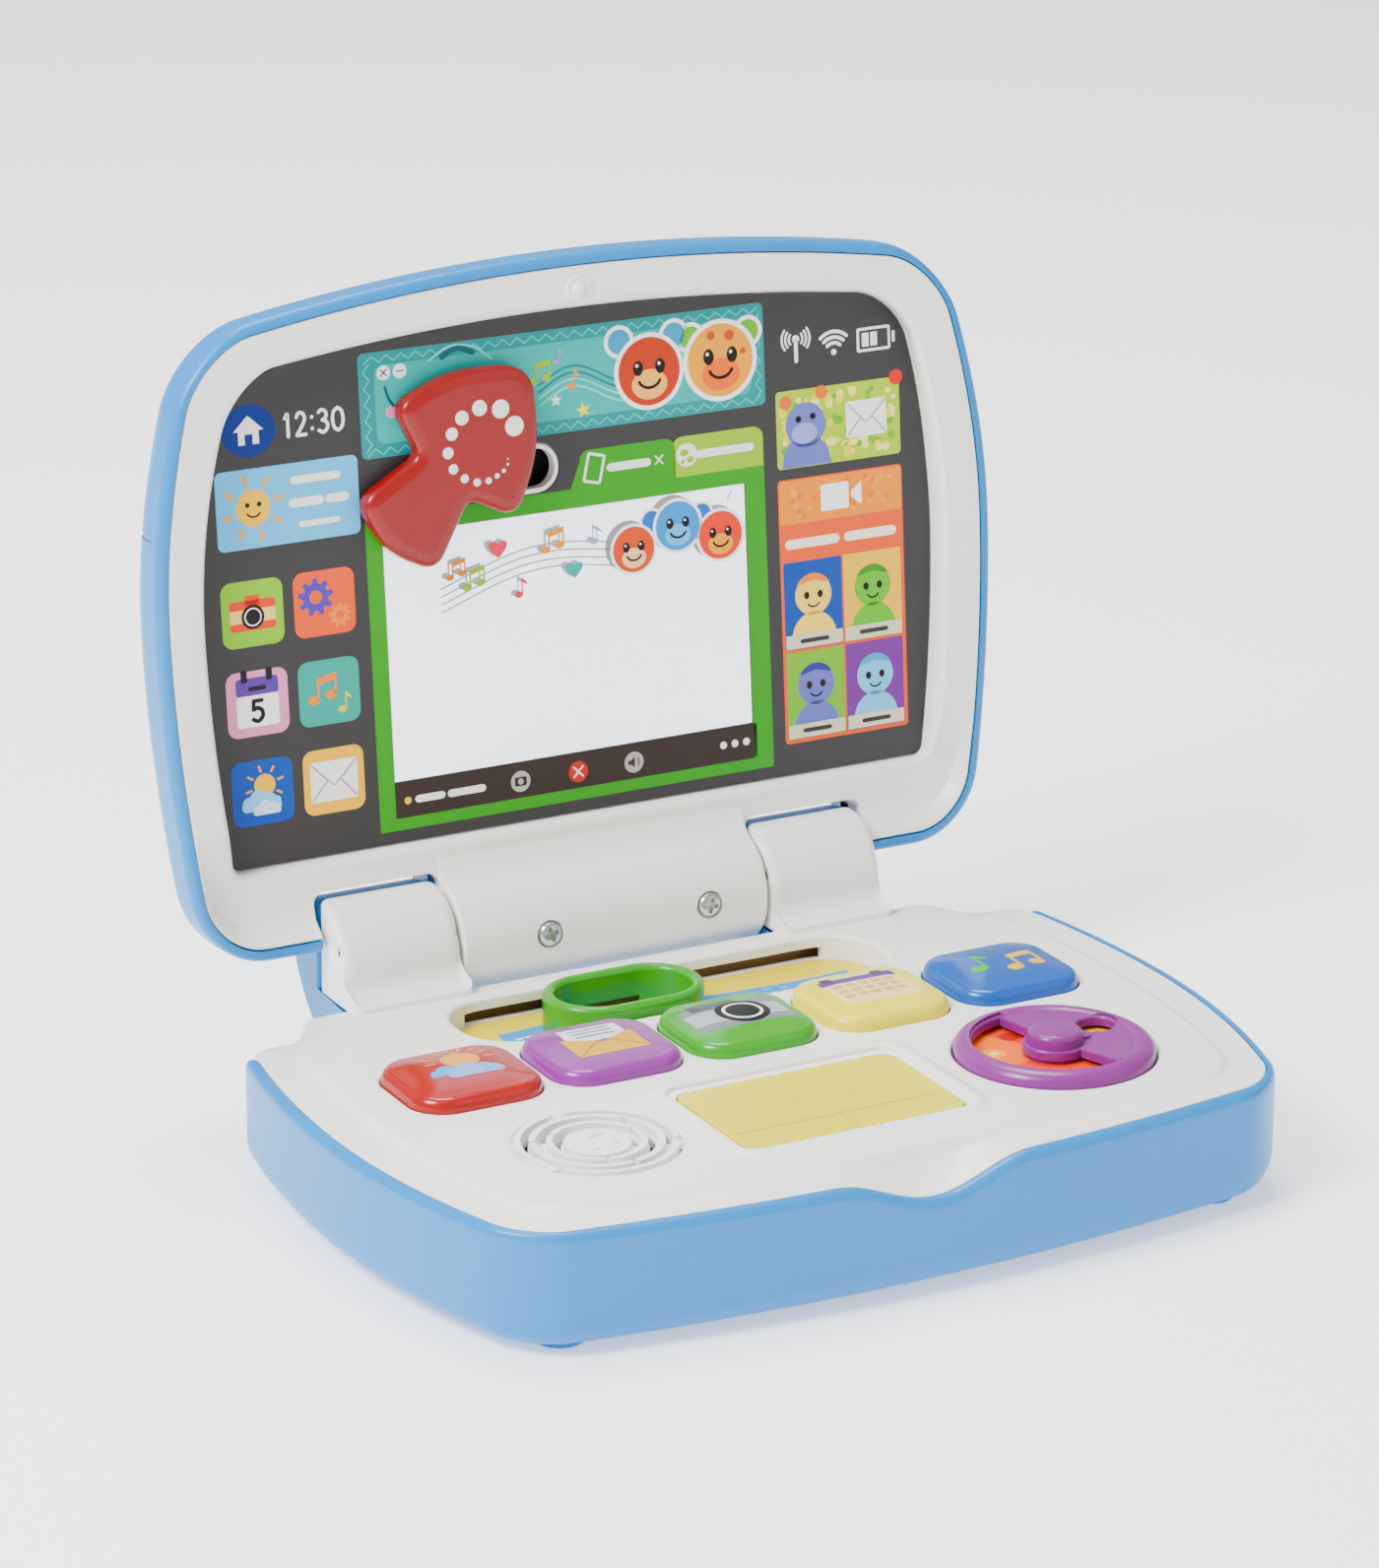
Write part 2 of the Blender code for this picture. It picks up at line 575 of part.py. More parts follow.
# ---------------------------------------------------------------- pieces in the base
def make_key(name, index):
    """A pillow-shaped key cap with a flange under the deck and a stem that presses the rubber dome."""
    bm = bmesh.new()
    top = DECK_Z + KEY_TALL
    flange = DECK_UNDER - GAP
    rings = []
    for grow, z in ((0.9, flange - 1.2), (0.9, flange), (0.0, flange), (0.0, top - 3.6), (-0.5, top - 2.3),
                    (-1.6, top - 1.3), (-4.0, top - 0.5), (-10.0, top)):
        rings.append([(x, y, z) for x, y in key_outline(grow)])
    add_loft(bm, rings)
    key = part(name, bm, KEY_COLOURS[name])
    cx, cy = key_centre(index)
    key.location = (cx * MM, (AXIS_Y + cy) * MM, 0.0)
    bm = bmesh.new()
    add_rod(bm, (0.0, 0.0), 4.0, (24.4, flange - 0.6), 12)
    stem = helper(name + "_stem", bm)
    stem.location = key.location
    boolean(key, stem, "UNION")


def make_base_pieces():
    names = ("key_red", "key_purple", "key_green", "key_yellow", "key_blue")
    for index, name in enumerate(names):
        make_key(name, index)

    pad_top = DECK_Z - 0.2
    bm = bmesh.new()
    outline = rounded_box(PAD_X, PAD_Y, 3.7, 5)
    rim = rounded_box((PAD_X[0] - 1.2, PAD_X[1] + 1.2), (PAD_Y[0] - 1.2, PAD_Y[1] + 1.2), 4.9, 5)
    add_loft(bm, [[(x, y, z) for x, y in line] for line, z in (
        (rim, DECK_UNDER - GAP - 1.3), (rim, DECK_UNDER - GAP), (outline, DECK_UNDER - GAP), (outline, pad_top))])
    pad = part("touchpad", bm, YELLOW, BASE)
    move_origin(pad, (sum(PAD_X) / 2, sum(PAD_Y) / 2, DECK_Z))
    cut = bmesh.new()
    line_y = PAD_Y[0] + 9.8
    add_box(cut, (PAD_X[0] + 2.0, PAD_X[1] - 2.0), (line_y - 0.2, line_y + 0.2), (pad_top - 0.3, pad_top + 1))
    middle = (PAD_X[0] + PAD_X[1]) / 2
    add_box(cut, (middle - 0.2, middle + 0.2), (PAD_Y[0] + 0.8, line_y + 0.1), (pad_top - 0.3, pad_top + 1))
    boolean(pad, helper("touchpad_lines", cut, BASE), "DIFFERENCE", crossing=True)

    # The finger ring: an oval band standing in the recess, and the carriage behind the slit that carries it.
    cx, cy = RING_AT
    outer = rounded_box((-RING_L / 2, RING_L / 2), (-RING_D / 2, RING_D / 2), RING_D / 2 - 0.01, 7)
    low, high = TRAY_Z + 0.2, DECK_Z + RING_TALL
    bm = bmesh.new()
    rings = []
    for grow, z in ((0.0, low), (0.0, high - 0.9), (-0.35, high - 0.25), (-1.1, high), (-RING_WALL + 1.1, high),
                    (-RING_WALL + 0.35, high - 0.25), (-RING_WALL, high - 0.9), (-RING_WALL, low)):
        scale = [(x * (1 + 2 * grow / RING_L), y * (1 + 2 * grow / RING_D)) for x, y in outer]
        rings.append([(x, y, z) for x, y in scale])
    rows = [[bm.verts.new(p) for p in ring] for ring in rings]
    for a, b in zip(rows, rows[1:] + rows[:1]):
        for i in range(len(a)):
            j = (i + 1) % len(a)
            bm.faces.new((a[i], a[j], b[j], b[i]))
    ring = part("slider_ring", bm, GREEN, BASE)
    ring.location = (cx * MM, (AXIS_Y + cy) * MM, 0.0)
    cut = bmesh.new()
    add_box(cut, (-9.3, 9.3), (RING_D / 2 - RING_WALL - 1.0, RING_D / 2 + 2.0), (low - 1.0, TRAY_Z + 1.8))
    notch_cut = helper("slider_ring_seat", cut)
    notch_cut.location = ring.location
    boolean(ring, notch_cut, "DIFFERENCE")

    bm = bmesh.new()
    foot_y = TRAY_Y[1] + 1.8 + GAP - cy
    add_box(bm, (-9.0, 9.0), (RING_D / 2 - 2.2, foot_y + 1.0), (TRAY_Z + 0.4, TRAY_Z + 1.5))
    carriage = part("slider_carriage", bm, BROWN)
    carriage.location = ring.location
    add = bmesh.new()
    add_box(add, (-12.0, 12.0), (foot_y, foot_y + 2.4), (TRAY_Z - 3.0, TRAY_Z + 1.6))
    joined = helper("slider_carriage_foot", add)
    joined.location = ring.location
    boolean(carriage, joined, "UNION")

    inner = rounded_box((TRAY_X[0] + GAP, TRAY_X[1] - GAP), (TRAY_Y[0] + GAP, TRAY_Y[1] - GAP), 12.2, 6)
    part("slider_tray_print", flat_mesh("tray", [inner], (TRAY_Z - 0.5, TRAY_Z)), TRAY_PRINT, BASE)

    # The dial: a turned wheel with a large window, a small oval one, a hub and a shaft.
    top = DECK_Z + DIAL_TALL
    low = DECK_Z - 3.4
    r = DIAL_R
    profile = [
        (0, DECK_Z + HUB_TALL), (HUB_R - 1.4, DECK_Z + HUB_TALL), (HUB_R - 0.4, DECK_Z + HUB_TALL - 0.4),
        (HUB_R, DECK_Z + HUB_TALL - 1.4), (HUB_R + 0.4, top - 0.7), (r - 5.2, top - 0.7), (r - 4.0, top - 0.1),
        (r - 2.8, top), (r - 1.2, top - 0.5), (r - 0.25, top - 1.8), (r, top - 3.4), (r, low), (r - 2.0, low),
        (r - 2.2, top - 3.0), (HUB_R + 0.6, top - 3.0), (HUB_R, low), (3.0, low), (3.0, 20.6), (0, 20.6)]
    dial = turned("dial", profile, PURPLE, 32)
    dial.location = (DIAL_AT[0] * MM, (AXIS_Y + DIAL_AT[1]) * MM, 0.0)
    window = arc(0, 0, r - 4.3, r - 4.3, 128, 338, 22) + arc(0, 0, HUB_R + 0.9, HUB_R + 0.9, 338, 128, 12)
    oval = arc(12.6, 5.8, 5.2, 3.6, 0, 345, 24)
    cut = bmesh.new()
    add_flat(cut, [window], (top - 6.0, top + 4.0))
    add_flat(cut, [oval], (top - 6.0, top + 4.0))
    windows = helper("dial_windows", cut)
    windows.location = dial.location
    boolean(dial, windows, "DIFFERENCE")
    disc = turned("dial_picture", [
        (r - 0.4, DECK_Z - 3.8), (r - 0.4, DECK_Z - 4.3), (3.0 + GAP + 0.2, DECK_Z - 4.3),
        (3.0 + GAP + 0.2, DECK_Z - 3.8)], DIAL_PRINT, 32, ring=True)
    disc.location = dial.location
    clip = turned("dial_retainer", [
        (6.0, 24.6), (6.0, 22.6), (3.0 + 0.1, 22.6), (3.0 + 0.1, 24.6)], BLACK, 16, ring=True)
    clip.location = dial.location

    # Speaker driver under the grille.
    driver = turned("speaker", [
        (0, 26.4), (8.0, 25.6), (15.6, 27.0), (17.8, 27.0), (17.8, 25.4), (15.0, 24.6), (9.0, 19.4), (9.0, 14.4),
        (0, 14.4)], BLACK, 24)
    driver.location = (SPEAKER_AT[0] * MM, (AXIS_Y + SPEAKER_AT[1]) * MM, 0.0)

    # Rubber dome sheet on the main circuit board, under the row of keys.
    bm = bmesh.new()
    add_box(bm, (-89.0, 89.0), (-88.0, -60.0), (20.6, 21.4))
    sheet = part("key_membrane", bm, RUBBER, BASE)
    add = bmesh.new()
    for index in range(5):
        add_rod(add, key_centre(index), 5.0, (21.0, 22.0), 14, top_radius=3.6)
    boolean(sheet, helper("membrane_domes", add, BASE), "UNION")
    bm = bmesh.new()
    add_box(bm, (-90.5, 90.5), (-90.0, -57.5), (18.7, 20.3))
    part("circuit_board", bm, BOARD, BASE)

    # Battery compartment: door, its screw, two cells and the contact plates.
    bm = bmesh.new()
    door = rounded_box((-34.0 + GAP, 35.0 - GAP), (-139.5 + GAP, -98.5 - GAP), 2.7, 4)
    add_flat(bm, [door], (FOOT, FOOT + 2.0))
    door = part("battery_door", bm, BLUE, BASE)
    cut = bmesh.new()
    add_rod(cut, (30.0, -119.0), 3.5, (FOOT - 1.0, FOOT + 1.2), 16)
    add_rod(cut, (30.0, -119.0), 1.7, (FOOT - 1.0, FOOT + 3.0), 12)
    boolean(door, helper("door_screw_hole", cut, BASE), "DIFFERENCE", crossing=True)
    for name, y in (("battery_1", -127.0), ("battery_2", -111.0)):
        cell = turned(name, [(0, 50.4), (2.7, 50.4), (2.7, 49.2), (7.1, 49.2), (7.1, 0.2), (5.0, 0.0), (0, 0.0)],
                      CELL, 18)
        cell.location = (-24.8 * MM, (AXIS_Y + y) * MM, 13.1 * MM)
        cell.rotation_euler = (0.0, math.radians(90), 0.0)
    for name, x in (("contact_left", (-27.6, -26.9)), ("contact_right", (27.0, 27.7))):
        bm = bmesh.new()
        add_box(bm, x, (-134.5, -103.5), (6.6, 19.5))
        part(name, bm, STEEL, BASE)

    # Power switch on the underside.
    bm = bmesh.new()
    add_box(bm, (52.0, 58.0), (-97.2, -93.8), (FOOT + 0.1, FLOOR_Z + 1.5))
    switch = part("power_switch", bm, BLACK, BASE)
    move_origin(switch, (55.0, -95.5, FOOT))
    add = bmesh.new()
    add_box(add, (50.0, 60.0), (-99.5, -91.5), (FLOOR_Z + GAP, FLOOR_Z + 2.0))
    boolean(switch, helper("power_switch_flange", add, BASE), "UNION")

    for index, (x, y) in enumerate(CASE_SCREWS):
        make_screw(f"case_screw_{index + 1}", 3.1, 14.0, Vector((x, AXIS_Y + y, FOOT + 4.2 - GAP)), (math.pi, 0, 0))
    make_screw("door_screw", 3.0, 2.1, Vector((30.0, AXIS_Y - 119.0, FOOT + 1.2 - GAP)), (math.pi, 0, 0))


def make_screw(name, radius, length, at, rotation):
    """A pan-head screw with a cross recess; its shank runs from the head's underside towards -Z before turning."""
    tall = 1.7
    screw = turned(name, [
        (0, tall), (radius * 0.55, tall), (radius * 0.9, tall * 0.6), (radius, 0.25), (radius, 0),
        (1.3, 0), (1.3, -length + 1.0), (0, -length)], STEEL, 10)
    screw.location = at * MM
    screw.rotation_euler = rotation
    cut = bmesh.new()
    add_box(cut, (-0.42, 0.42), (-radius * 0.6, radius * 0.6), (tall - 0.9, tall + 1))
    add_flat(cut, [[(-radius * 0.6, -0.42), (radius * 0.6, -0.42), (radius * 0.6, 0.42), (-radius * 0.6, 0.42)]],
             (tall - 0.91, tall + 1.01))
    cross = helper(name + "_cross", cut)
    cross.location = screw.location
    cross.rotation_euler = rotation
    boolean(screw, cross, "DIFFERENCE", crossing=True)
    return screw


# ---------------------------------------------------------------- lid, drawn as x, v, n
def lid_half(v):
    """Half width of the bezel at height v: the sides bow out and draw in towards the top."""
    if v < 85:
        return LID_HALF - 0.00115 * (85 - v) ** 2
    return LID_HALF - 0.00205 * (v - 85) ** 2


def lid_loop(grow, top_corner=LID_CORNER_TOP, low_corner=LID_CORNER_LOW):
    """Outline of the bezel, grown outwards."""
    half = LID_HALF + grow
    top, bottom = LID_TOP + grow, LID_BOTTOM - grow
    rt, rb = max(top_corner + grow, 1.0), max(low_corner + grow, 1.0)
    flat = [(x * (half - rb), bottom) for x in (-0.85, -0.45, 0.0, 0.45, 0.85)]
    flat += arc(half - rb, bottom + rb, rb, rb, -90, 0, 5)
    flat += [(half, v) for v in np.linspace(bottom + rb, top - rt, 6)[1:-1]]
    flat += arc(half - rt, top - rt, rt, rt, 0, 90, 5)
    flat += [(x * (half - rt), top) for x in (0.75, 0.4, 0.0, -0.4, -0.75)]
    flat += arc(-half + rt, top - rt, rt, rt, 90, 180, 5)
    flat += [(-half, v) for v in np.linspace(top - rt, bottom + rb, 6)[1:-1]]
    flat += arc(-half + rb, bottom + rb, rb, rb, 180, 270, 5)
    out = []
    for x, v in flat:
        share = smooth(60, 159, v)
        out.append((x * lid_half(v) / LID_HALF, v - 0.0008 * x * x * share))
    return out


def screen_loop(grow=0.0):
    """Outline of the screen picture: straight below, bowed at the sides and the top."""
    half = 97.0 + grow
    top, bottom = 147.6 + grow, 24.6 - grow
    rt, rb = 11.0 + grow, 2.2 + grow
    flat = [(x * (half - rb), bottom) for x in (-0.85, -0.45, 0.0, 0.45, 0.85)]
    flat += arc(half - rb, bottom + rb, rb, rb, -90, 0, 5)
    flat += [(half, v) for v in np.linspace(bottom + rb, top - rt, 6)[1:-1]]
    flat += arc(half - rt, top - rt, rt, rt, 0, 90, 5)
    flat += [(x * (half - rt), top) for x in (0.75, 0.4, 0.0, -0.4, -0.75)]
    flat += arc(-half + rt, top - rt, rt, rt, 90, 180, 5)
    flat += [(-half, v) for v in np.linspace(top - rt, bottom + rb, 6)[1:-1]]
    flat += arc(-half + rb, bottom + rb, rb, rb, 180, 270, 5)
    out = []
    for x, v in flat:
        side = 0.0012 * (85 - v) ** 2 if v < 85 else 0.0028 * (v - 85) ** 2
        share = smooth(60, 147, v)
        out.append((x * (1 - side / 97.0), v - 0.0007 * x * x * share))
    return out


def blend_ring(share, n_side, n_low, grow=0.0, screen_grow=0.0):
    """A ring between the bezel's edge and the screen's edge; its height drops to n_low along the bottom."""
    ring = []
    for (ax, av), (bx, bv) in zip(lid_loop(grow), screen_loop(screen_grow)):
        x, v = ax + (bx - ax) * share, av + (bv - av) * share
        low = 1 - smooth(19, 36, v)
        ring.append((x, v, n_side + (n_low - n_side) * low))
    return ring


def slot_outline(grow):
    r = SLOT_TALL / 2 + grow
    return rounded_box((SLOT_X[0] - grow, SLOT_X[1] + grow), (SLOT_V - r, SLOT_V + r), r - 0.01, 7)


def make_bezel():
    seat = SCREEN_N - SCREEN_THICK - GAP
    bm = bmesh.new()
    rings = [
        blend_ring(1.0, seat, seat, screen_grow=GAP),
        blend_ring(1.0, 0.9, 0.4, screen_grow=0.8),
        blend_ring(1.0, 3.6, 1.4, screen_grow=2.4),
        blend_ring(1.0, 5.3, 1.9, screen_grow=4.0),
        blend_ring(0.5, 6.3, 2.0),
        blend_ring(0.08, BEZEL_N - 0.1, BEZEL_N - 0.4),
        blend_ring(0.0, BEZEL_N - 0.35, BEZEL_N - 0.6, grow=-GAP),
        blend_ring(0.0, BEZEL_N - 3.0, BEZEL_N - 3.0, grow=-GAP),
        blend_ring(0.5, 4.1, -0.2, grow=-GAP),
        blend_ring(1.0, 3.2, -0.4, screen_grow=4.6),
        blend_ring(1.0, seat - 2.0, seat - 2.0, screen_grow=3.0),
    ]
    add_loft(bm, rings)
    bezel = part("lid_bezel", bm, WHITE, LID)

    # Front half of the hinge barrel, walls beside the cut-outs, slot collar and the little lens bump.
    add = bmesh.new()
    ring = [(v, n + GAP / 2) for n, v in arc(0, 0, BARREL_R, BARREL_R, -90, 90, 17)]
    add_loft(add, [[(x, v, n) for v, n in ring] for x in (-BARREL_HALF, BARREL_HALF)])
    boolean(bezel, helper("bezel_barrel", add, LID), "UNION")
    add = bmesh.new()
    wall = [(20.4, 1.0), (16.2, 1.0), (8.5, 5.4), (7.0, 5.4), (7.0, seat - 0.6), (20.4, seat - 0.6)]
    for side in (-1, 1):
        x0, x1 = sorted((side * 43.8, side * (CUTOUT_X[1] + 2.2)))
        add_loft(add, [[(x, v, n) for v, n in wall] for x in (x0, x1)])
    boolean(bezel, helper("bezel_walls", add, LID), "UNION")
    add = bmesh.new()
    add_flat(add, [slot_outline(1.1)], (seat - 1.0, SCREEN_N + 0.05))
    bmesh.ops.create_uvsphere(add, u_segments=16, v_segments=8, radius=2.4,
                              matrix=Matrix.Translation((0.0, 153.4, BEZEL_N - 1.45)))
    boolean(bezel, helper("bezel_collar", add, LID), "UNION")

    cut = bmesh.new()
    add_box(cut, (MIRROR_X[0] - GAP, MIRROR_X[1] + GAP), (MIRROR_V[0] - GAP, MIRROR_V[1] + GAP),
            (SCREEN_N - MIRROR_THICK - GAP, 3.0))
    add_flat(cut, [slot_outline(0.0)], (-9.0, 9.0))
    for side in (-1, 1):
        x0, x1 = sorted((side * CUTOUT_X[0], side * CUTOUT_X[1]))
        add_box(cut, (x0, x1), (-40.0, CUTOUT_V), (-40.0, 40.0))
    boolean(bezel, helper("bezel_openings", cut, LID), "DIFFERENCE")
    cut = bmesh.new()
    add_rod(cut, (0.0, 0.0), BARREL_BORE, (-BARREL_HALF + 3.0, BARREL_HALF - 3.0), 32, along="X")
    add_rod(cut, (0.0, 0.0), PIN_R + GAP, (-BARREL_HALF - 4, BARREL_HALF + 4), 20, along="X")
    for x in BARREL_SCREW_X:
        add_rod(cut, (x, 0.0), 3.6, (BARREL_R - 1.3, BARREL_R + 4), 20)
        add_rod(cut, (x, 0.0), 1.6, (4.0, BARREL_R + 1), 12)
    boolean(bezel, helper("bezel_bores", cut, LID), "DIFFERENCE", crossing=True)
    return bezel


def shell_ring(grow, n, taper=0.0):
    """A ring of the blue lid shell; taper brings its upper part forward."""
    return [(x, v, n + taper * smooth(60, 160, v)) for x, v in lid_loop(grow)]


def make_lid_shell():
    back = LID_BACK_N
    bm = bmesh.new()
    rings = [
        shell_ring(-30.0, back - 0.7, LID_BACK_TAPER), shell_ring(-9.0, back, LID_BACK_TAPER),
        shell_ring(-4.0, back + 0.9, LID_BACK_TAPER), shell_ring(-0.9, back + 3.0, LID_BACK_TAPER),
        shell_ring(1.4, back + 6.6, LID_BACK_TAPER), shell_ring(RIM, back + 12.0, LID_BACK_TAPER * 0.6),
        shell_ring(RIM, BEZEL_N - 2.2), shell_ring(RIM - 0.6, BEZEL_N - 0.7),
        shell_ring(RIM - 1.8, BEZEL_N), shell_ring(0.0, BEZEL_N), shell_ring(0.0, BEZEL_N - 3.4),
        shell_ring(0.6, back + 12.6, LID_BACK_TAPER * 0.6), shell_ring(-1.2, back + 7.0, LID_BACK_TAPER),
        shell_ring(-3.4, back + 3.9, LID_BACK_TAPER), shell_ring(-9.5, back + WALL, LID_BACK_TAPER)]
    add_loft(bm, rings)
    shell = part("lid_shell", bm, BLUE, LID)

    # Back half of the barrel with the block that joins it to the shell, and the walls beside the cut-outs.
    add = bmesh.new()
    ring = [(v, -n - GAP / 2) for n, v in arc(0, 0, BARREL_R, BARREL_R, -90, -6, 9)]
    ring += [(4.0, LID_BACK_N - 0.9), (21.0, LID_BACK_N - 0.2), (21.0, LID_BACK_N + 1.4), (18.8, LID_BACK_N + 2.2),
             (18.8, -2.4), (BARREL_R, -GAP / 2)]
    add_loft(add, [[(x, v, n) for v, n in ring] for x in (-BARREL_HALF, BARREL_HALF)])
    boolean(shell, helper("shell_barrel", add, LID), "UNION")
    add = bmesh.new()
    wall = [(20.0, -3.6), (20.0, LID_BACK_N + 1.2), (10.0, LID_BACK_N + 1.6), (4.4, -3.6)]
    for side in (-1, 1):
        x0, x1 = sorted((side * 39.0, side * (CUTOUT_X[1] + 2.2)))
        add_loft(add, [[(x, v, n) for v, n in wall] for x in (x0, x1)])
    boolean(shell, helper("shell_walls", add, LID), "UNION")

    cut = bmesh.new()
    for side in (-1, 1):
        x0, x1 = sorted((side * CUTOUT_X[0], side * CUTOUT_X[1]))
        add_box(cut, (x0, x1), (-40.0, CUTOUT_V), (-40.0, 40.0))
    boolean(shell, helper("shell_openings", cut, LID), "DIFFERENCE")
    cut = bmesh.new()
    add_box(cut, (-CUTOUT_X[0] - 1, CUTOUT_X[0] + 1), (-40.0, BARREL_R + 0.6), (-GAP / 2, 30.0))
    boolean(shell, helper("shell_front_clearance", cut, LID), "DIFFERENCE")
    cut = bmesh.new()
    add_rod(cut, (0.0, 0.0), BARREL_BORE, (-BARREL_HALF + 3.0, BARREL_HALF - 3.0), 32, along="X")
    boolean(shell, helper("shell_barrel_bore", cut, LID), "DIFFERENCE")
    cut = bmesh.new()
    add_rod(cut, (0.0, 0.0), PIN_R + GAP, (-BARREL_HALF - 4, BARREL_HALF + 4), 20, along="X")
    boolean(shell, helper("shell_pin_bore", cut, LID), "DIFFERENCE")
    cut = bmesh.new()
    half = lid_half(GROOVE_V) + RIM
    groove = [(-130, 3.0), (-half + 0.9, 3.0), (-half + 0.9, -2.0), (-half + 5.0, -9.6), (-half + 12.0, -11.4),
              (half - 12.0, -11.4), (half - 5.0, -9.6), (half - 0.9, -2.0), (half - 0.9, 3.0), (130, 3.0),
              (130, -30), (-130, -30)]
    add_loft(cut, [[(x, v, n) for x, n in groove] for v in (GROOVE_V - 0.7, GROOVE_V + 0.7)])
    boolean(shell, helper("shell_groove", cut, LID), "DIFFERENCE")
    add = bmesh.new()
    for x in BARREL_SCREW_X:
        add_rod(add, (x, 0.0), 3.4, (-BARREL_BORE - 1.2, 3.0), 16)
    boolean(shell, helper("shell_posts", add, LID), "UNION")
    cut = bmesh.new()
    for x in BARREL_SCREW_X:
        add_rod(cut, (x, 0.0), 1.6, (-4.0, 6.0), 12)
    boolean(shell, helper("shell_post_holes", cut, LID), "DIFFERENCE")
    return shell


def arrow_outline(grow=0.0):
    """The arrow cap: a broad head with bowed sides and a flared shaft, symmetric about its length."""
    half = [(30.6, 0.0), (16.0, 15.6), (0.5, 21.6), (-4.0, 8.6), (-22.0, 13.6), (-26.5, 0.0)]
    radii = [9.0, 40.0, 5.2, 3.0, 5.5, 30.0]
    points = half + [(s, -t) for s, t in half[-2:0:-1]]
    line = round_polygon(points, radii + radii[-2:0:-1], 6)
    if not grow:
        return line
    out = []
    count = len(line)
    for i in range(count):
        ahead = np.array(line[(i + 1) % count]) - np.array(line[i - 1])
        normal = np.array((ahead[1], -ahead[0])) / max(float(np.linalg.norm(ahead)), 1e-9)
        out.append(tuple(np.array(line[i]) - normal * grow))
    return out


def make_lid_pieces():
    cuts = [rounded_box((MIRROR_X[0] - GAP, MIRROR_X[1] + GAP), (MIRROR_V[0] - GAP, MIRROR_V[1] + GAP), 0.6, 2),
            slot_outline(1.1 + GAP)]
    part("screen_print", flat_mesh("screen", [screen_loop(0.0)] + cuts, (SCREEN_N - SCREEN_THICK, SCREEN_N)),
         GREY_PRINT, LID)
    bm = bmesh.new()
    add_box(bm, MIRROR_X, MIRROR_V, (SCREEN_N - MIRROR_THICK, SCREEN_N))
    part("mirror", bm, MIRROR, LID)

    bm = bmesh.new()
    low = SCREEN_N + ARROW_LIFT
    high = low + ARROW_THICK
    turn = math.radians(ARROW_TURN)
    rings = []
    for grow, n in ((0.4, low), (0.0, low + 0.5), (0.0, high - 2.2), (0.5, high - 0.8), (2.0, high)):
        line = arrow_outline(grow)
        rings.append([(ARROW_AT[0] + s * math.cos(turn) - t * math.sin(turn),
                       ARROW_AT[1] + s * math.sin(turn) + t * math.cos(turn), n) for s, t in line])
    add_loft(bm, rings)
    arrow = part("arrow_cap", bm, RED, LID)
    move_origin(arrow, (ARROW_AT[0], -SCREEN_N, SLOT_V))
    stem = bmesh.new()
    add_rod(stem, (ARROW_AT[0], SLOT_V), 3.6, (SCREEN_N - 2.4, low + 1.0), 20)
    add_rod(stem, (ARROW_AT[0], SLOT_V), 1.9, (SCREEN_N - 5.6, low + 1.0), 16)
    boolean(arrow, helper("arrow_stem", stem, LID), "UNION")
    bm = bmesh.new()
    back = SCREEN_N - SCREEN_THICK - GAP - 2.0 - GAP
    add_rod(bm, (ARROW_AT[0], SLOT_V), 7.4, (back - 1.6, back), 24)
    washer = part("arrow_washer", bm, BLACK, LID)
    move_origin(washer, (ARROW_AT[0], -SCREEN_N, SLOT_V))
    cut = bmesh.new()
    add_rod(cut, (ARROW_AT[0], SLOT_V), 2.0, (back - 3.0, back + 1.0), 16)
    boolean(washer, helper("arrow_washer_hole", cut, LID), "DIFFERENCE")

    for index, x in enumerate(BARREL_SCREW_X):
        lean = math.radians(LEAN)
        n = BARREL_R - 1.3 + GAP
        at = Vector((x, AXIS_Y - n * math.cos(lean), AXIS_Z + n * math.sin(lean)))
        make_screw(f"barrel_screw_{index + 1}", 3.2, 12.0, at, (math.radians(90 - LEAN), 0.0, 0.0))
    for name, side in (("hinge_pin_left", -1), ("hinge_pin_right", 1)):
        bm = bmesh.new()
        x0, x1 = sorted((side * (BARREL_HALF - 2.4), side * (KNUCKLE_X[0] + 17.0)))
        add_rod(bm, (0.0, AXIS_Z), PIN_R, (x0, x1), 20, along="X")
        part(name, bm, STEEL, BASE)


make_casing()
make_deck()
make_base_pieces()
make_bezel()
make_lid_shell()
make_lid_pieces()
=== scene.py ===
"""Looks of the toy laptop computer: moulded plastic shells, keys, dial, printed screen and mirror, round the frame.

Lengths are millimetres until a piece is made.  Base pieces are drawn as (x, y from the hinge axis, z from the
table); lid pieces as (x, v up the screen from the hinge axis, n out of the screen).
"""

import math

import bmesh
import bpy
import numpy as np
from mathutils import Matrix, Vector
from mathutils.geometry import tessellate_polygon


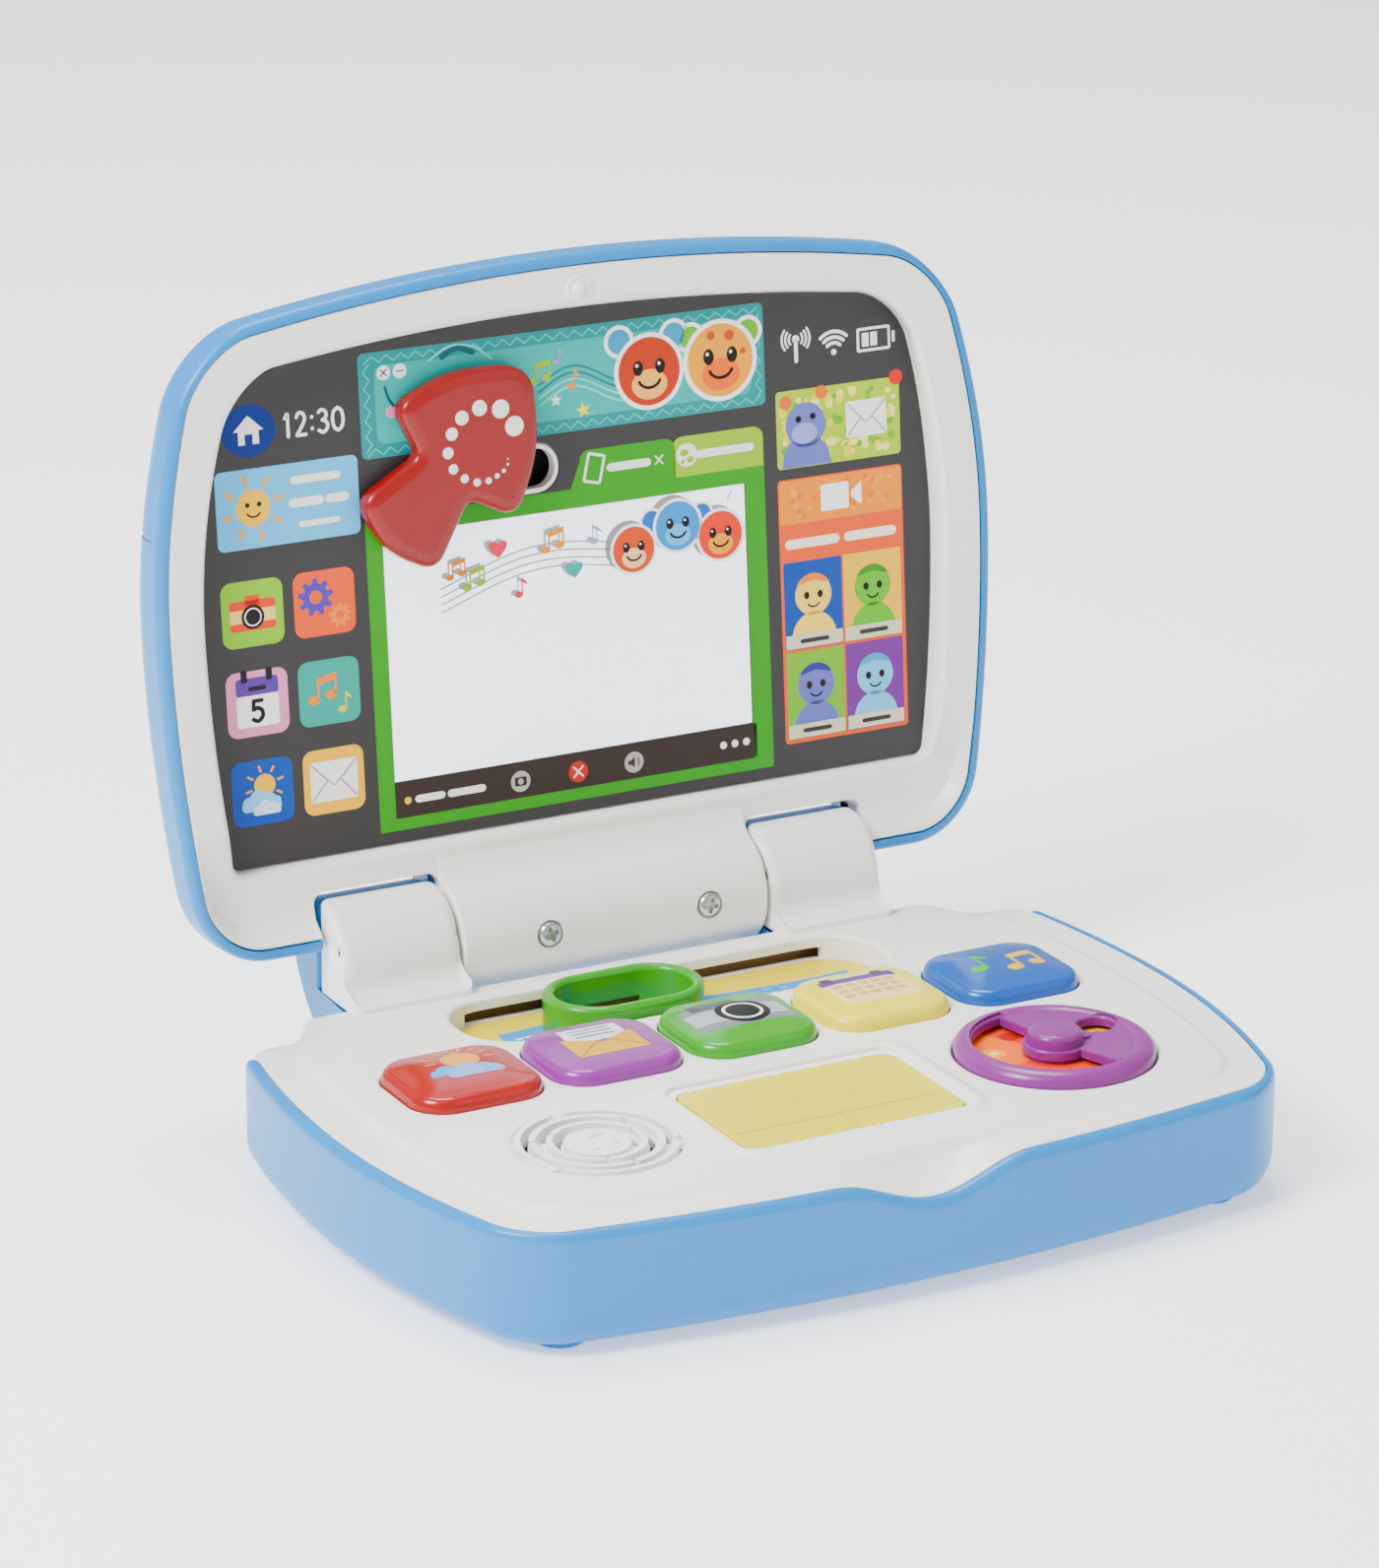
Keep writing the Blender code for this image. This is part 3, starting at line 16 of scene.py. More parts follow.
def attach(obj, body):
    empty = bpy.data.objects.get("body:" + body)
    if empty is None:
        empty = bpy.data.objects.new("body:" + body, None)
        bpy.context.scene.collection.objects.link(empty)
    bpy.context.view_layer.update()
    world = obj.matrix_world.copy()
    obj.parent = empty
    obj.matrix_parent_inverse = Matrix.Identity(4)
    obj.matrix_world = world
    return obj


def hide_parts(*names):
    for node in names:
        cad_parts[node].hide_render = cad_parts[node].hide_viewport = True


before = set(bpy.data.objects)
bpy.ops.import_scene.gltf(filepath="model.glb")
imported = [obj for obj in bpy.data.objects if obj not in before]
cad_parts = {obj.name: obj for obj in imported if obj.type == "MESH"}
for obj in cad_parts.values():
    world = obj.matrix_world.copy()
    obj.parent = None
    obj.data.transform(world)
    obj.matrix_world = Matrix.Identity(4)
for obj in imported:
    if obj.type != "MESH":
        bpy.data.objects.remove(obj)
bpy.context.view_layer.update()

# Sizes of the drawing: the CAD's own, so that every piece here lies on the node that it stands for.
MM = 0.001
GAP = 0.3
AXIS_Y, AXIS_Z, LEAN = 71.55, 37.2, math.radians(4.8)
HALF_WIDTH, BASE_FRONT, BASE_REAR, REAR_STEP = 109.3, 163.5, 29.5, 12.5
RIM, CORNER, FOOT, RIM_Z, DECK_Z = 2.8, 10.5, 2.2, 29.75, 31.15
DECK_LOW = RIM_Z - 2.3
NOTCH_HALF, NOTCH_DEEP = 25.0, 6.4
KEY_PITCH, KEY_W, KEY_D, KEY_Y, KEY_TALL = 35.75, 32.8, 30.2, -73.7, 4.3
PAD_X, PAD_Y = (-32.5, 24.3), (-138.3, -101.8)
DIAL_AT, DIAL_R, HUB_R = (58.4, -119.2), 23.5, 6.4
SPEAKER_AT = (-60.0, -118.2)
TRAY_X, TRAY_Y, TRAY_Z = (-56.5, 56.5), (-56.0, -27.5), DECK_Z - 6.3
RING_AT, RING_L, RING_D, RING_WALL = (-13.5, -42.4), 40.0, 25.0, 3.0
KNUCKLE_X, KNUCKLE_R, KNUCKLE_BACK_R = (42.3, 72.9), 14.6, 16.2
BARREL_HALF, BARREL_R = 41.3, 14.5
CUTOUT_X, CUTOUT_V = (41.6, 74.6), 16.6
LID_HALF, LID_TOP, LID_BOTTOM = 108.9, 159.2, 6.0
SCREEN_N, BEZEL_N, BACK_N, TAPER = -0.35, 6.95, -13.0, 2.4
MIRROR_X, MIRROR_V = (-50.4, 46.4), (39.6, 99.2)
SLOT_X, SLOT_V, SLOT_TALL = (-43.0, -4.7), 110.3, 9.6
ARROW_AT, ARROW_LOW, ARROW_THICK = (-32.9, 114.9), SCREEN_N + 0.5, 5.05
BARREL_SCREWS = (-18.4, 25.1)
GROOVE_V = 107.0
# Inks that many drawings share.
PAPER, BORDER, EYES, MIRROR_GREEN, LIME, CHARCOAL = "F4F3F1", "FDFDFD", "2A1A16", "55A532", "AFCB06", "2B2626"
# Camera: direction it looks from in degrees, place in mm from the hinge axis, lens and sensor in mm.
AZIMUTH, ELEVATION, ROLL = -28.461, 19.003, 0.2055
CAMERA_AT, LENS, SENSOR = (-588.2, -1134.9, 472.2), 128.55, 36.0


# ---------------------------------------------------------------- materials
def linear(hex_colour):
    """sRGB hex to the linear colour a shader takes."""
    out = []
    for i in (0, 2, 4):
        c = int(hex_colour[i:i + 2], 16) / 255.0
        out.append(c / 12.92 if c <= 0.04045 else ((c + 0.055) / 1.055) ** 2.4)
    return (*out, 1.0)


def node(tree, kind, settings=None, links=None):
    """Adds a node with its constants and its links (input name to (node, output name))."""
    new = tree.nodes.new(kind)
    for key, value in (settings or {}).items():
        if hasattr(new, key) and key not in new.inputs:
            setattr(new, key, value)
        else:
            new.inputs[key].default_value = value
    for key, (source, output) in (links or {}).items():
        tree.links.new(source.outputs[output], new.inputs[key])
    return new


MATERIALS = {}


def surface(name, colour, rough=0.35, metallic=0.0, coat=0.0, grain=0.12, bump=0.0, spread=0.02, density=1.0,
            shine=0.35):
    """A surface whose roughness and brightness drift slightly with object position, as moulded, printed and plated
    parts do; grain is the share of the drift in roughness, spread that in brightness, bump the height of fine
    texture in mm.  A density over 1 deepens a hue the way thicker ink does, and leaves greys alone: each channel's
    share of the strongest one is raised to a power of the density."""
    if name in MATERIALS:
        return MATERIALS[name]
    mat = bpy.data.materials.new(name)
    mat.use_nodes = True
    tree = mat.node_tree
    shader = tree.nodes["Principled BSDF"]
    place = node(tree, "ShaderNodeTexCoord")
    slow = node(tree, "ShaderNodeTexNoise", {"Scale": 38.0, "Detail": 3.0}, {"Vector": (place, "Object")})
    fine = node(tree, "ShaderNodeTexNoise", {"Scale": 1400.0, "Detail": 2.0}, {"Vector": (place, "Object")})
    level = node(tree, "ShaderNodeMapRange", {"To Min": rough * (1 - grain), "To Max": rough * (1 + grain)},
                 {"Value": (slow, "Fac")})
    plain = linear(colour)[:3]
    most, powers = max(plain), (density, 1 + 0.6 * (density - 1), density)
    deep = tuple(most ** (1 + 0.3 * (density - 1)) * (c / most) ** power for c, power in zip(plain, powers)) + (1.0,)
    tone = node(tree, "ShaderNodeHueSaturation", {"Color": deep})
    shade = node(tree, "ShaderNodeMapRange", {"To Min": 1 - spread, "To Max": 1 + spread}, {"Value": (slow, "Fac")})
    tree.links.new(shade.outputs[0], tone.inputs["Value"])
    tree.links.new(tone.outputs["Color"], shader.inputs["Base Color"])
    tree.links.new(level.outputs[0], shader.inputs["Roughness"])
    shader.inputs["Metallic"].default_value = metallic
    shader.inputs["Coat Weight"].default_value = coat
    shader.inputs["Specular IOR Level"].default_value = shine
    shader.inputs["Coat Roughness"].default_value = 0.12
    if bump:
        relief = node(tree, "ShaderNodeBump", {"Strength": 0.25, "Distance": bump * MM}, {"Height": (fine, "Fac")})
        tree.links.new(relief.outputs["Normal"], shader.inputs["Normal"])
    MATERIALS[name] = mat
    return mat


# Moulded ABS: the wide soft highlight of a polished tool, its gloss drifting a little from place to place.  The two
# shells also have a very fine grain; the keys, dial and arrow have a thin clearer coat, which sharpens their glints.
BLUE = surface("ABS moulded sky blue satin", "007CC4", 0.36, coat=0.05, bump=0.01)
WHITE = surface("ABS moulded warm white satin", "F4F3EF", 0.30, coat=0.1, bump=0.006)
RED = surface("ABS moulded red gloss", "8A0306", 0.28, coat=0.15)
KEY_RED = surface("ABS moulded key red gloss", "A20206", 0.22, coat=0.2)
KEY_PURPLE = surface("ABS moulded key purple gloss", "86248F", 0.24, coat=0.2)
KEY_GREEN = surface("ABS moulded key green gloss", "2C9608", 0.24, coat=0.2)
KEY_YELLOW = surface("ABS moulded key yellow gloss", "EADA00", 0.24, coat=0.2)
KEY_BLUE = surface("ABS moulded key blue gloss", "0050A8", 0.22, coat=0.2)
DIAL_PURPLE = surface("ABS moulded dial purple satin", "7E2480", 0.3, coat=0.15)
RING_GREEN = surface("ABS moulded ring green gloss", "2C9608", 0.26, coat=0.15)
PAD_YELLOW = surface("ABS moulded touchpad yellow satin", "E0D000", 0.34)
# Printed polypropylene sheet under a satin varnish: even and duller than the plastic round it, so it reads as print.
GREY = surface("printed sheet grey satin", "2C2A2B", 0.42)
TRAY_YELLOW = surface("printed strip yellow satin", "E0C800", 0.4)
# Fittings: zinc plate gives the screws a bright, slightly blotchy metal; matte browns and blacks keep the slots dark,
# the black strip behind the arrow's slot as painted shade; board, rubber and sleeve show only when a cover is off.
ZINC = surface("steel zinc plated", "C9CCCB", 0.28, metallic=1.0, grain=0.3)
DARK = surface("polypropylene dark brown matte", "4E3C30", 0.6)
SLIT_BACK_BROWN = surface("polypropylene brown matte", "8A6A48", 0.6)
BLACK = surface("ABS black matte", "1C1C1E", 0.55)
BOARD = surface("circuit board green solder mask", "1E6B3C", 0.45)
SILICONE = surface("silicone rubber grey matte", "9A9C9E", 0.8)
SLEEVE = surface("battery sleeve dark gloss", "2F3A46", 0.3)


def ink(name, colour, rough=0.4):
    """Printing ink, named by its colour: flat and satin, deeper than the plastic so that small marks stay clear."""
    return surface("ink " + name, colour, rough, grain=0.05, spread=0.01, density=1.9, shine=0.2)


def safety_mirror():
    """Metallised acrylic: a bright, slightly soft reflection with a cool cast, lifted by a painted cool-white glow
    (emission) that stands in for the bright room it mirrors.
    """
    mat = surface("acrylic safety mirror silvered painted glow", "F4F8FD", 0.2, metallic=0.55, spread=0.0)
    shader = mat.node_tree.nodes["Principled BSDF"]
    # Painted glow: the mirror emits a cool white of its own, though it is no lamp.
    shader.inputs["Emission Color"].default_value = linear("EEF4FF")
    shader.inputs["Emission Strength"].default_value = 0.9
    return mat


# ---------------------------------------------------------------- making pieces
def to_base(points):
    """(x, y from the axis, z) in mm to metres."""
    p = np.asarray(points, float)
    return (p + (0.0, AXIS_Y, 0.0)) * MM


def to_lid(points):
    """(x, v, n) in mm to metres: v = (0, sin L, cos L), n = (0, -cos L, sin L) from the hinge axis."""
    p = np.asarray(points, float)
    x, v, n = p[..., 0], p[..., 1], p[..., 2]
    s, c = math.sin(LEAN), math.cos(LEAN)
    return np.stack((x, AXIS_Y + v * s - n * c, AXIS_Z + v * c + n * s), -1) * MM


def raw_mesh(name, verts, faces):
    """A mesh with its normals pointing out."""
    mesh = bpy.data.meshes.new(name)
    mesh.from_pydata(np.asarray(verts).tolist(), [], faces)
    bm = bmesh.new()
    bm.from_mesh(mesh)
    bmesh.ops.recalc_face_normals(bm, faces=bm.faces)
    bm.to_mesh(mesh)
    bm.free()
    return mesh


def loft(rings, place, closed=False):
    """A body whose rings (R, N, 3) are joined by quads; its ends are capped, or joined when it closes on itself."""
    rings = place(rings)
    count, size = rings.shape[:2]
    i, j = np.meshgrid(np.arange(count if closed else count - 1), np.arange(size), indexing="ij")
    up, side = (i + 1) % count, (j + 1) % size
    quads = np.stack((i * size + j, i * size + side, up * size + side, up * size + j), -1).reshape(-1, 4).tolist()
    if not closed:
        quads += [list(range(size)), list(range((count - 1) * size, count * size))]
    return rings.reshape(-1, 3), quads


def merge(parts):
    """Several (verts, faces) as one."""
    verts, faces, start = [], [], 0
    for v, f in parts:
        verts.append(np.asarray(v))
        faces += [[k + start for k in face] for face in f]
        start += len(v)
    return np.concatenate(verts), faces


def piece(name, shape, mat, body, nodes=(), smooth=35, steps=()):
    """A finished piece: its shape, the Boolean steps baked in, its material, the body it rides on and the nodes
    it stands for."""
    obj = bpy.data.objects.new(name, raw_mesh(name, *shape))
    bpy.context.scene.collection.objects.link(obj)
    spare = []
    for index, (operation, other) in enumerate(steps):
        tool = bpy.data.objects.new(f"{name}_tool_{index}", raw_mesh("tool", *other))
        bpy.context.scene.collection.objects.link(tool)
        spare.append(tool)
        change = obj.modifiers.new(operation, "BOOLEAN")
        change.operation, change.object, change.solver = operation, tool, "MANIFOLD"
    if steps:
        ready = obj.evaluated_get(bpy.context.evaluated_depsgraph_get())
        made = bpy.data.meshes.new_from_object(ready)
        obj.modifiers.clear()
        obj.data = made
        for tool in spare:
            bpy.data.objects.remove(tool, do_unlink=True)
    obj.data.materials.clear()
    obj.data.materials.append(mat)
    obj.data.shade_smooth()
    obj.data.set_sharp_from_angle(angle=math.radians(smooth))
    if steps:
        even = obj.modifiers.new("even", "WEIGHTED_NORMAL")
        even.keep_sharp = True
    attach(obj, body)
    if nodes:
        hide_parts(*nodes)
    return obj


# ---------------------------------------------------------------- outlines
def smooth(a, b, t):
    """Smooth step: 0 up to a, 1 from b on, and 3 s^2 - 2 s^3 between, with s the share of the way."""
    s = np.clip((np.asarray(t, float) - a) / (b - a), 0.0, 1.0)
    return s * s * (3 - 2 * s)


def arc(cx, cy, rx, ry, start, end, count):
    """Points on an ellipse about (cx, cy), between two angles in degrees."""
    a = np.radians(np.linspace(start, end, count))
    return np.stack((cx + rx * np.cos(a), cy + ry * np.sin(a)), -1)


def circle(cx, cy, r, count=40, ry=None):
    """A closed circle, or an ellipse when ry is given."""
    return arc(cx, cy, r, ry or r, 0, 360, count + 1)[:-1]


def rounded(x, y, radius, steps=8):
    """A rectangle with round corners."""
    (x0, x1), (y0, y1) = x, y
    corners = ((x1 - radius, y0 + radius, -90), (x1 - radius, y1 - radius, 0),
               (x0 + radius, y1 - radius, 90), (x0 + radius, y0 + radius, 180))
    return np.concatenate([arc(cx, cy, radius, radius, a, a + 90, steps) for cx, cy, a in corners])


def round_polygon(points, radii, steps=6):
    """A polygon whose corners are rounded with parabolas."""
    out = []
    count = len(points)
    for i, (point, radius) in enumerate(zip(points, radii)):
        here = np.array(point, float)
        back, ahead = np.array(points[i - 1], float) - here, np.array(points[(i + 1) % count], float) - here
        lb, la = np.linalg.norm(back), np.linalg.norm(ahead)
        half = math.acos(float(np.clip(back @ ahead / (lb * la), -1, 1))) / 2
        reach = min(radius / math.tan(half), 0.48 * lb, 0.48 * la)
        first, last = here + back / lb * reach, here + ahead / la * reach
        t = np.linspace(0, 1, steps)[:, None]
        out.append((1 - t) ** 2 * first + 2 * t * (1 - t) * here + t * t * last)
    return np.concatenate(out)


def offset(line, grow):
    """Moves an anticlockwise outline outwards along its normals."""
    line = np.asarray(line, float)
    ahead = np.roll(line, -1, 0) - np.roll(line, 1, 0)
    length = np.maximum(np.linalg.norm(ahead, axis=1, keepdims=True), 1e-9)
    return line + np.stack((ahead[:, 1], -ahead[:, 0]), -1) / length * grow


def level(line, z):
    """An outline at one height."""
    line = np.asarray(line, float)
    return np.concatenate((line, np.full((len(line), 1), float(z)) if np.isscalar(z) else z[:, None]), 1)


def prism(line, low, high, place):
    """A straight-sided body over an outline; its ends are triangulated so that concave outlines fill."""
    line = np.asarray(line, float)
    n = len(line)
    verts = place(np.concatenate((level(line, low), level(line, high))))
    cap = tessellate_polygon([[Vector((x, y, 0)) for x, y in line]])
    faces = [list(t) for t in cap] + [[k + n for k in t] for t in cap]
    faces += [[i, (i + 1) % n, (i + 1) % n + n, i + n] for i in range(n)]
    return verts, faces


def pocket(line_of, low, top, radius, place, above=8.0, steps=5):
    """A cutter with the outline line_of(grow) that opens out with a rounded mouth at height top."""
    rings = [level(line_of(0.0), low)]
    for a in np.linspace(0, math.pi / 2, steps):
        rings.append(level(line_of(radius * (1 - math.cos(a))), top - radius * (1 - math.sin(a))))
    rings.append(level(line_of(radius), top + above))
    return loft(np.array(rings), place)


def turned(profile, at, place, steps=72):
    """A body of revolution about the vertical through at: profile (radius, height) from the top down."""
    profile = np.asarray(profile, float)
    a = np.linspace(0, 2 * math.pi, steps, endpoint=False)
    rings = np.stack([np.stack((at[0] + r * np.cos(a), at[1] + r * np.sin(a), np.full(steps, z)), -1)
                      for r, z in profile])
    return loft(rings, place)


def base_loop(inset, corner=CORNER, rear_corner=6.0, rear_out=0.0):
    """Outline of the base, inset from the inside of the rim.  x = X (1 - k (Y + 87)^2 / W) and
    y = Y + 0.00073 X^2 share + step, so that sides and front bow and the middle of the rear stands back."""
    half = HALF_WIDTH - inset
    front, rear = -BASE_FRONT + inset, -BASE_REAR - inset
    rc, rr = max(corner - inset, 1.2), max(rear_corner - inset, 1.0)
    across = np.linspace(-1, 1, 72)[1:-1]
    ups = np.linspace(front + rc, rear - rr, 30)[1:-1]
    ones = np.ones
    flat = np.concatenate((
        np.stack((across * (half - rc), ones(70) * front), -1), arc(half - rc, front + rc, rc, rc, -90, 0, 14),
        np.stack((ones(28) * half, ups), -1), arc(half - rr, rear - rr, rr, rr, 0, 90, 8),
        np.stack((across[::-1] * (half - rr), ones(70) * rear), -1), arc(-half + rr, rear - rr, rr, rr, 90, 180, 8),
        np.stack((-ones(28) * half, ups[::-1]), -1), arc(-half + rc, front + rc, rc, rc, 180, 270, 14)))
    x, y = flat.T
    ahead = -(y + 87.0)
    bow = np.where(ahead > 0, 0.0023, 0.00165) * ahead ** 2
    share = (-BASE_REAR - y) / (BASE_FRONT - BASE_REAR)
    step = REAR_STEP * (1 - smooth(86, 97, abs(x))) * (1 - smooth(2, 12, rear - y))
    behind = smooth(rear - 7, rear - 0.5, y)
    return np.stack((x * (1 - bow / HALF_WIDTH), y + 0.00073 * x * x * share + step + rear_out * behind), -1), behind


def notch(x, y):
    """Depth of the finger notch under points near the front edge."""
    return np.where((abs(x) < NOTCH_HALF) & (y < -60), NOTCH_DEEP * 0.5 * (1 + np.cos(math.pi * x / NOTCH_HALF)), 0)


def base_ring(inset, z, follow=0.0, drop=0.0, **kw):
    """One ring of the base; follow is its share of the finger notch, drop lowers its rear."""
    line, behind = base_loop(inset, **kw)
    x, y = line.T
    return np.stack((x, y, z - follow * notch(x, y) - drop * behind), -1)


def lid_half(v):
    """Half width of the lid at height v: it shrinks with the square of the distance from v = 85, faster above."""
    v = np.asarray(v, float)
    return LID_HALF - np.where(v < 85, 0.00115, 0.00205) * (v - 85) ** 2


def round_frame(half, top, bottom, rt, rb):
    """Points of a rounded rectangle, with a fixed count whatever its size."""
    across, ups = np.linspace(-1, 1, 62)[1:-1], np.linspace(bottom + rb, top - rt, 40)[1:-1]
    ones = np.ones
    return np.concatenate((
        np.stack((across * (half - rb), ones(60) * bottom), -1), arc(half - rb, bottom + rb, rb, rb, -90, 0, 14),
        np.stack((ones(38) * half, ups), -1), arc(half - rt, top - rt, rt, rt, 0, 90, 14),
        np.stack((across[::-1] * (half - rt), ones(60) * top), -1), arc(-half + rt, top - rt, rt, rt, 90, 180, 14),
        np.stack((-ones(38) * half, ups[::-1]), -1), arc(-half + rb, bottom + rb, rb, rb, 180, 270, 14)))


def lid_loop(grow):
    """Outline of the bezel, grown outwards; sides bow and the top falls by 0.0008 x^2."""
    x, v = round_frame(LID_HALF + grow, LID_TOP + grow, LID_BOTTOM - grow,
                       max(15.0 + grow, 1.0), max(14.0 + grow, 1.0)).T
    return np.stack((x * lid_half(v) / LID_HALF, v - 0.0008 * x * x * smooth(60, 159, v)), -1)


def screen_loop(grow=0.0, wide=0.0):
    """Outline of the screen; wide moves its sides out to where the wall of the bezel meets the picture."""
    x, v = round_frame(97.0 + grow, 147.6 + grow, 24.6 - grow, 11.0 + grow, 2.2 + grow).T
    side = np.where(v < 85, 0.0012, 0.0028) * (v - 85) ** 2
    out = 1 + wide * (1.2 + 2.4 * smooth(95, 150, v)) / 97.0
    return np.stack((x * (1 - side / 97.0) * out, v - 0.0007 * x * x * smooth(60, 147, v)), -1)


def blend_ring(share, n_side, n_low, grow=0.0, screen_grow=0.0, wide=0.0):
    """A ring between the bezel's edge and the screen's edge, lower along the bottom."""
    line = lid_loop(grow) * (1 - share) + screen_loop(screen_grow, wide) * share
    low = 1 - smooth(19, 36, line[:, 1])
    return level(line, n_side + (n_low - n_side) * low)


def slot_line(grow):
    """Outline of the arrow's slot, a bar with round ends, grown outwards."""
    r = SLOT_TALL / 2 + grow
    return rounded((SLOT_X[0] - grow, SLOT_X[1] + grow), (SLOT_V - r, SLOT_V + r), r - 0.01, 14)


def block(profile, x0, x1, place, fillet=2.6, steps=7):
    """A body across x whose ends are rounded: each profile point moves towards the middle by the fillet."""
    profile = np.asarray(profile, float)
    middle = profile.mean(0)
    away = profile - middle
    far = np.maximum(np.linalg.norm(away, axis=1, keepdims=True), 1e-6)
    turns = np.linspace(0, math.pi / 2, steps)
    stations = [(x0 + fillet * (1 - math.sin(a)), fillet * (1 - math.cos(a))) for a in turns[::-1]]
    stations += [(x1 - fillet * (1 - math.sin(a)), fillet * (1 - math.cos(a))) for a in turns]
    rings = []
    for x, shrink in stations:
        keep = middle + away * (1 - shrink / far)
        rings.append(np.concatenate((np.full((len(keep), 1), x), keep), 1))
    return loft(np.array(rings), place)


def bezier(a, b, c, count):
    """The quadratic curve from a to c that sets out and arrives along the lines to b."""
    t = np.linspace(0, 1, count)[:, None]
    return (1 - t) ** 2 * np.array(a) + 2 * t * (1 - t) * np.array(b) + t * t * np.array(c)


def box(x, y, z, place):
    """A plain block between two values of x, y and z."""
    return prism([(x[0], y[0]), (x[1], y[0]), (x[1], y[1]), (x[0], y[1])], z[0], z[1], place)


def both_sides(near, far):
    """The x ranges from near to far, on the left and on the right."""
    return (-far, -near), (near, far)


# ---------------------------------------------------------------- base shells
def make_casing():
    """The blue tray: a loft round the base, rear halves of the knuckles and feet added, door and screw recesses cut."""
    rings = []
    for a in np.linspace(0, math.pi / 2, 9):
        rings.append(base_ring(-RIM + 7.0 * (1 - math.sin(a)), FOOT + 7.5 * (1 - math.cos(a)),
                               corner=14.0 - 3.5 * math.sin(a)))
    rings += [base_ring(-RIM, z, f, drop=3.0 * f) for z, f in ((FOOT + 12, 0), (FOOT + 17, 0.35), (RIM_Z - 4, 0.9))]
    for a in np.linspace(0, math.pi / 2, 6):
        rings.append(base_ring(-RIM + 2.3 * (1 - math.cos(a)), RIM_Z - 2.3 * (1 - math.sin(a)), 1.0, drop=3.0))
    rings += [base_ring(0.0, RIM_Z, 1.0, drop=3.0), base_ring(0.0, DECK_LOW - 0.1, 1.0, drop=0.7),
              base_ring(1.8, DECK_LOW - 0.2, 1.0, drop=0.6), base_ring(1.8, FOOT + 11, 0),
              base_ring(3.0, FOOT + 4.8, 0),
              base_ring(7.0, FOOT + 2.2, 0)]
    steps = []
    for x0, x1 in both_sides(*KNUCKLE_X):
        gap = box((x0 - GAP, x1 + GAP), (-26.0, 0.0), (DECK_LOW - 0.4, 60.0), to_base)
        steps.append(("DIFFERENCE", gap))
        back = arc(0, AXIS_Z, 1.0, 1.0, 88, -42, 26) - (0.0, AXIS_Z)
        back = back * (14.0 + (KNUCKLE_BACK_R - 14.0) * smooth(0.0, 12.0, np.arange(26.0)))[:, None] + (0.0, AXIS_Z)
        foot = bezier((back[-1][0], back[-1][1]), (4.0, AXIS_Z - 22.0), (-14.0, FOOT + 6.0), 8)[1:]
        profile = np.concatenate(([(GAP / 2, AXIS_Z + 13.9)], back, foot, [
            (-19.0, FOOT + 6.0), (-19.0, DECK_LOW - 0.4), (GAP / 2, DECK_LOW - 0.4)]))
        steps.append(("UNION", block(profile, x0, x1, to_base)))
    feet = [turned([(5.0, 0.0), (5.6, 0.25), (5.9, 0.9), (6.4, FOOT + 2.0)], at, to_base, 40)
            for at in ((-84.0, -146.5), (84.0, -146.5), (-78.0, -44.0), (78.0, -44.0))]
    steps.append(("UNION", merge(feet)))
    door = rounded((-34.0, 35.0), (-139.5, -98.5), 3.0)
    steps.append(("DIFFERENCE", prism(door, FOOT - 1, FOOT + 2.1, to_base)))
    holes = [prism(circle(x, y, 3.7), FOOT - 1, FOOT + 4.2, to_base) for x, y in
             ((-91.0, -126.0), (91.0, -126.0), (-92.0, -46.0), (92.0, -46.0))]
    holes.append(prism(rounded((47.0, 67.0), (-100.0, -91.0), 2.0), FOOT - 1, FOOT + 1.1, to_base))
    steps.append(("DIFFERENCE", merge(holes)))
    steps.append(("DIFFERENCE", box((51.0, 63.0), (-97.6, -93.4), (FOOT - 1, FOOT + 3.4), to_base)))
    piece("base_casing_shell", loft(np.array(rings), to_base), BLUE, "base", ("base_casing",),
          steps=steps)


def key_line(grow):
    """A key seen from above: x bows by half a millimetre between the corners."""
    line = rounded((-KEY_W / 2 - grow, KEY_W / 2 + grow), (-KEY_D / 2 - grow, KEY_D / 2 + grow),
                   max(8.0 + grow, 1.5), 12)
    x, y = line.T
    half_w, half_d = KEY_W / 2 + grow, KEY_D / 2 + grow
    return np.stack((x - 0.5 * (x / half_w) * (y / half_d) ** 2, y - 0.4 * (y / half_d) * (x / half_w) ** 2), -1)


def grille(radius, width, start, end):
    """An arc-shaped bar or slot of the speaker's grille, between two angles in degrees, with round ends."""
    half = width / 2

    def cap(angle, turn):
        """Inner points of the round end at an angle."""
        at = math.radians(angle)
        x, y = SPEAKER_AT[0] + radius * math.cos(at), SPEAKER_AT[1] + radius * math.sin(at)
        return arc(x, y, half, half, angle + turn, angle + turn + 180, 7)[1:-1]

    outer = arc(*SPEAKER_AT, radius + half, radius + half, start, end, 24)
    inner = arc(*SPEAKER_AT, radius - half, radius - half, end, start, 24)
    return np.concatenate((outer, cap(end, 0), inner, cap(start, 180)))


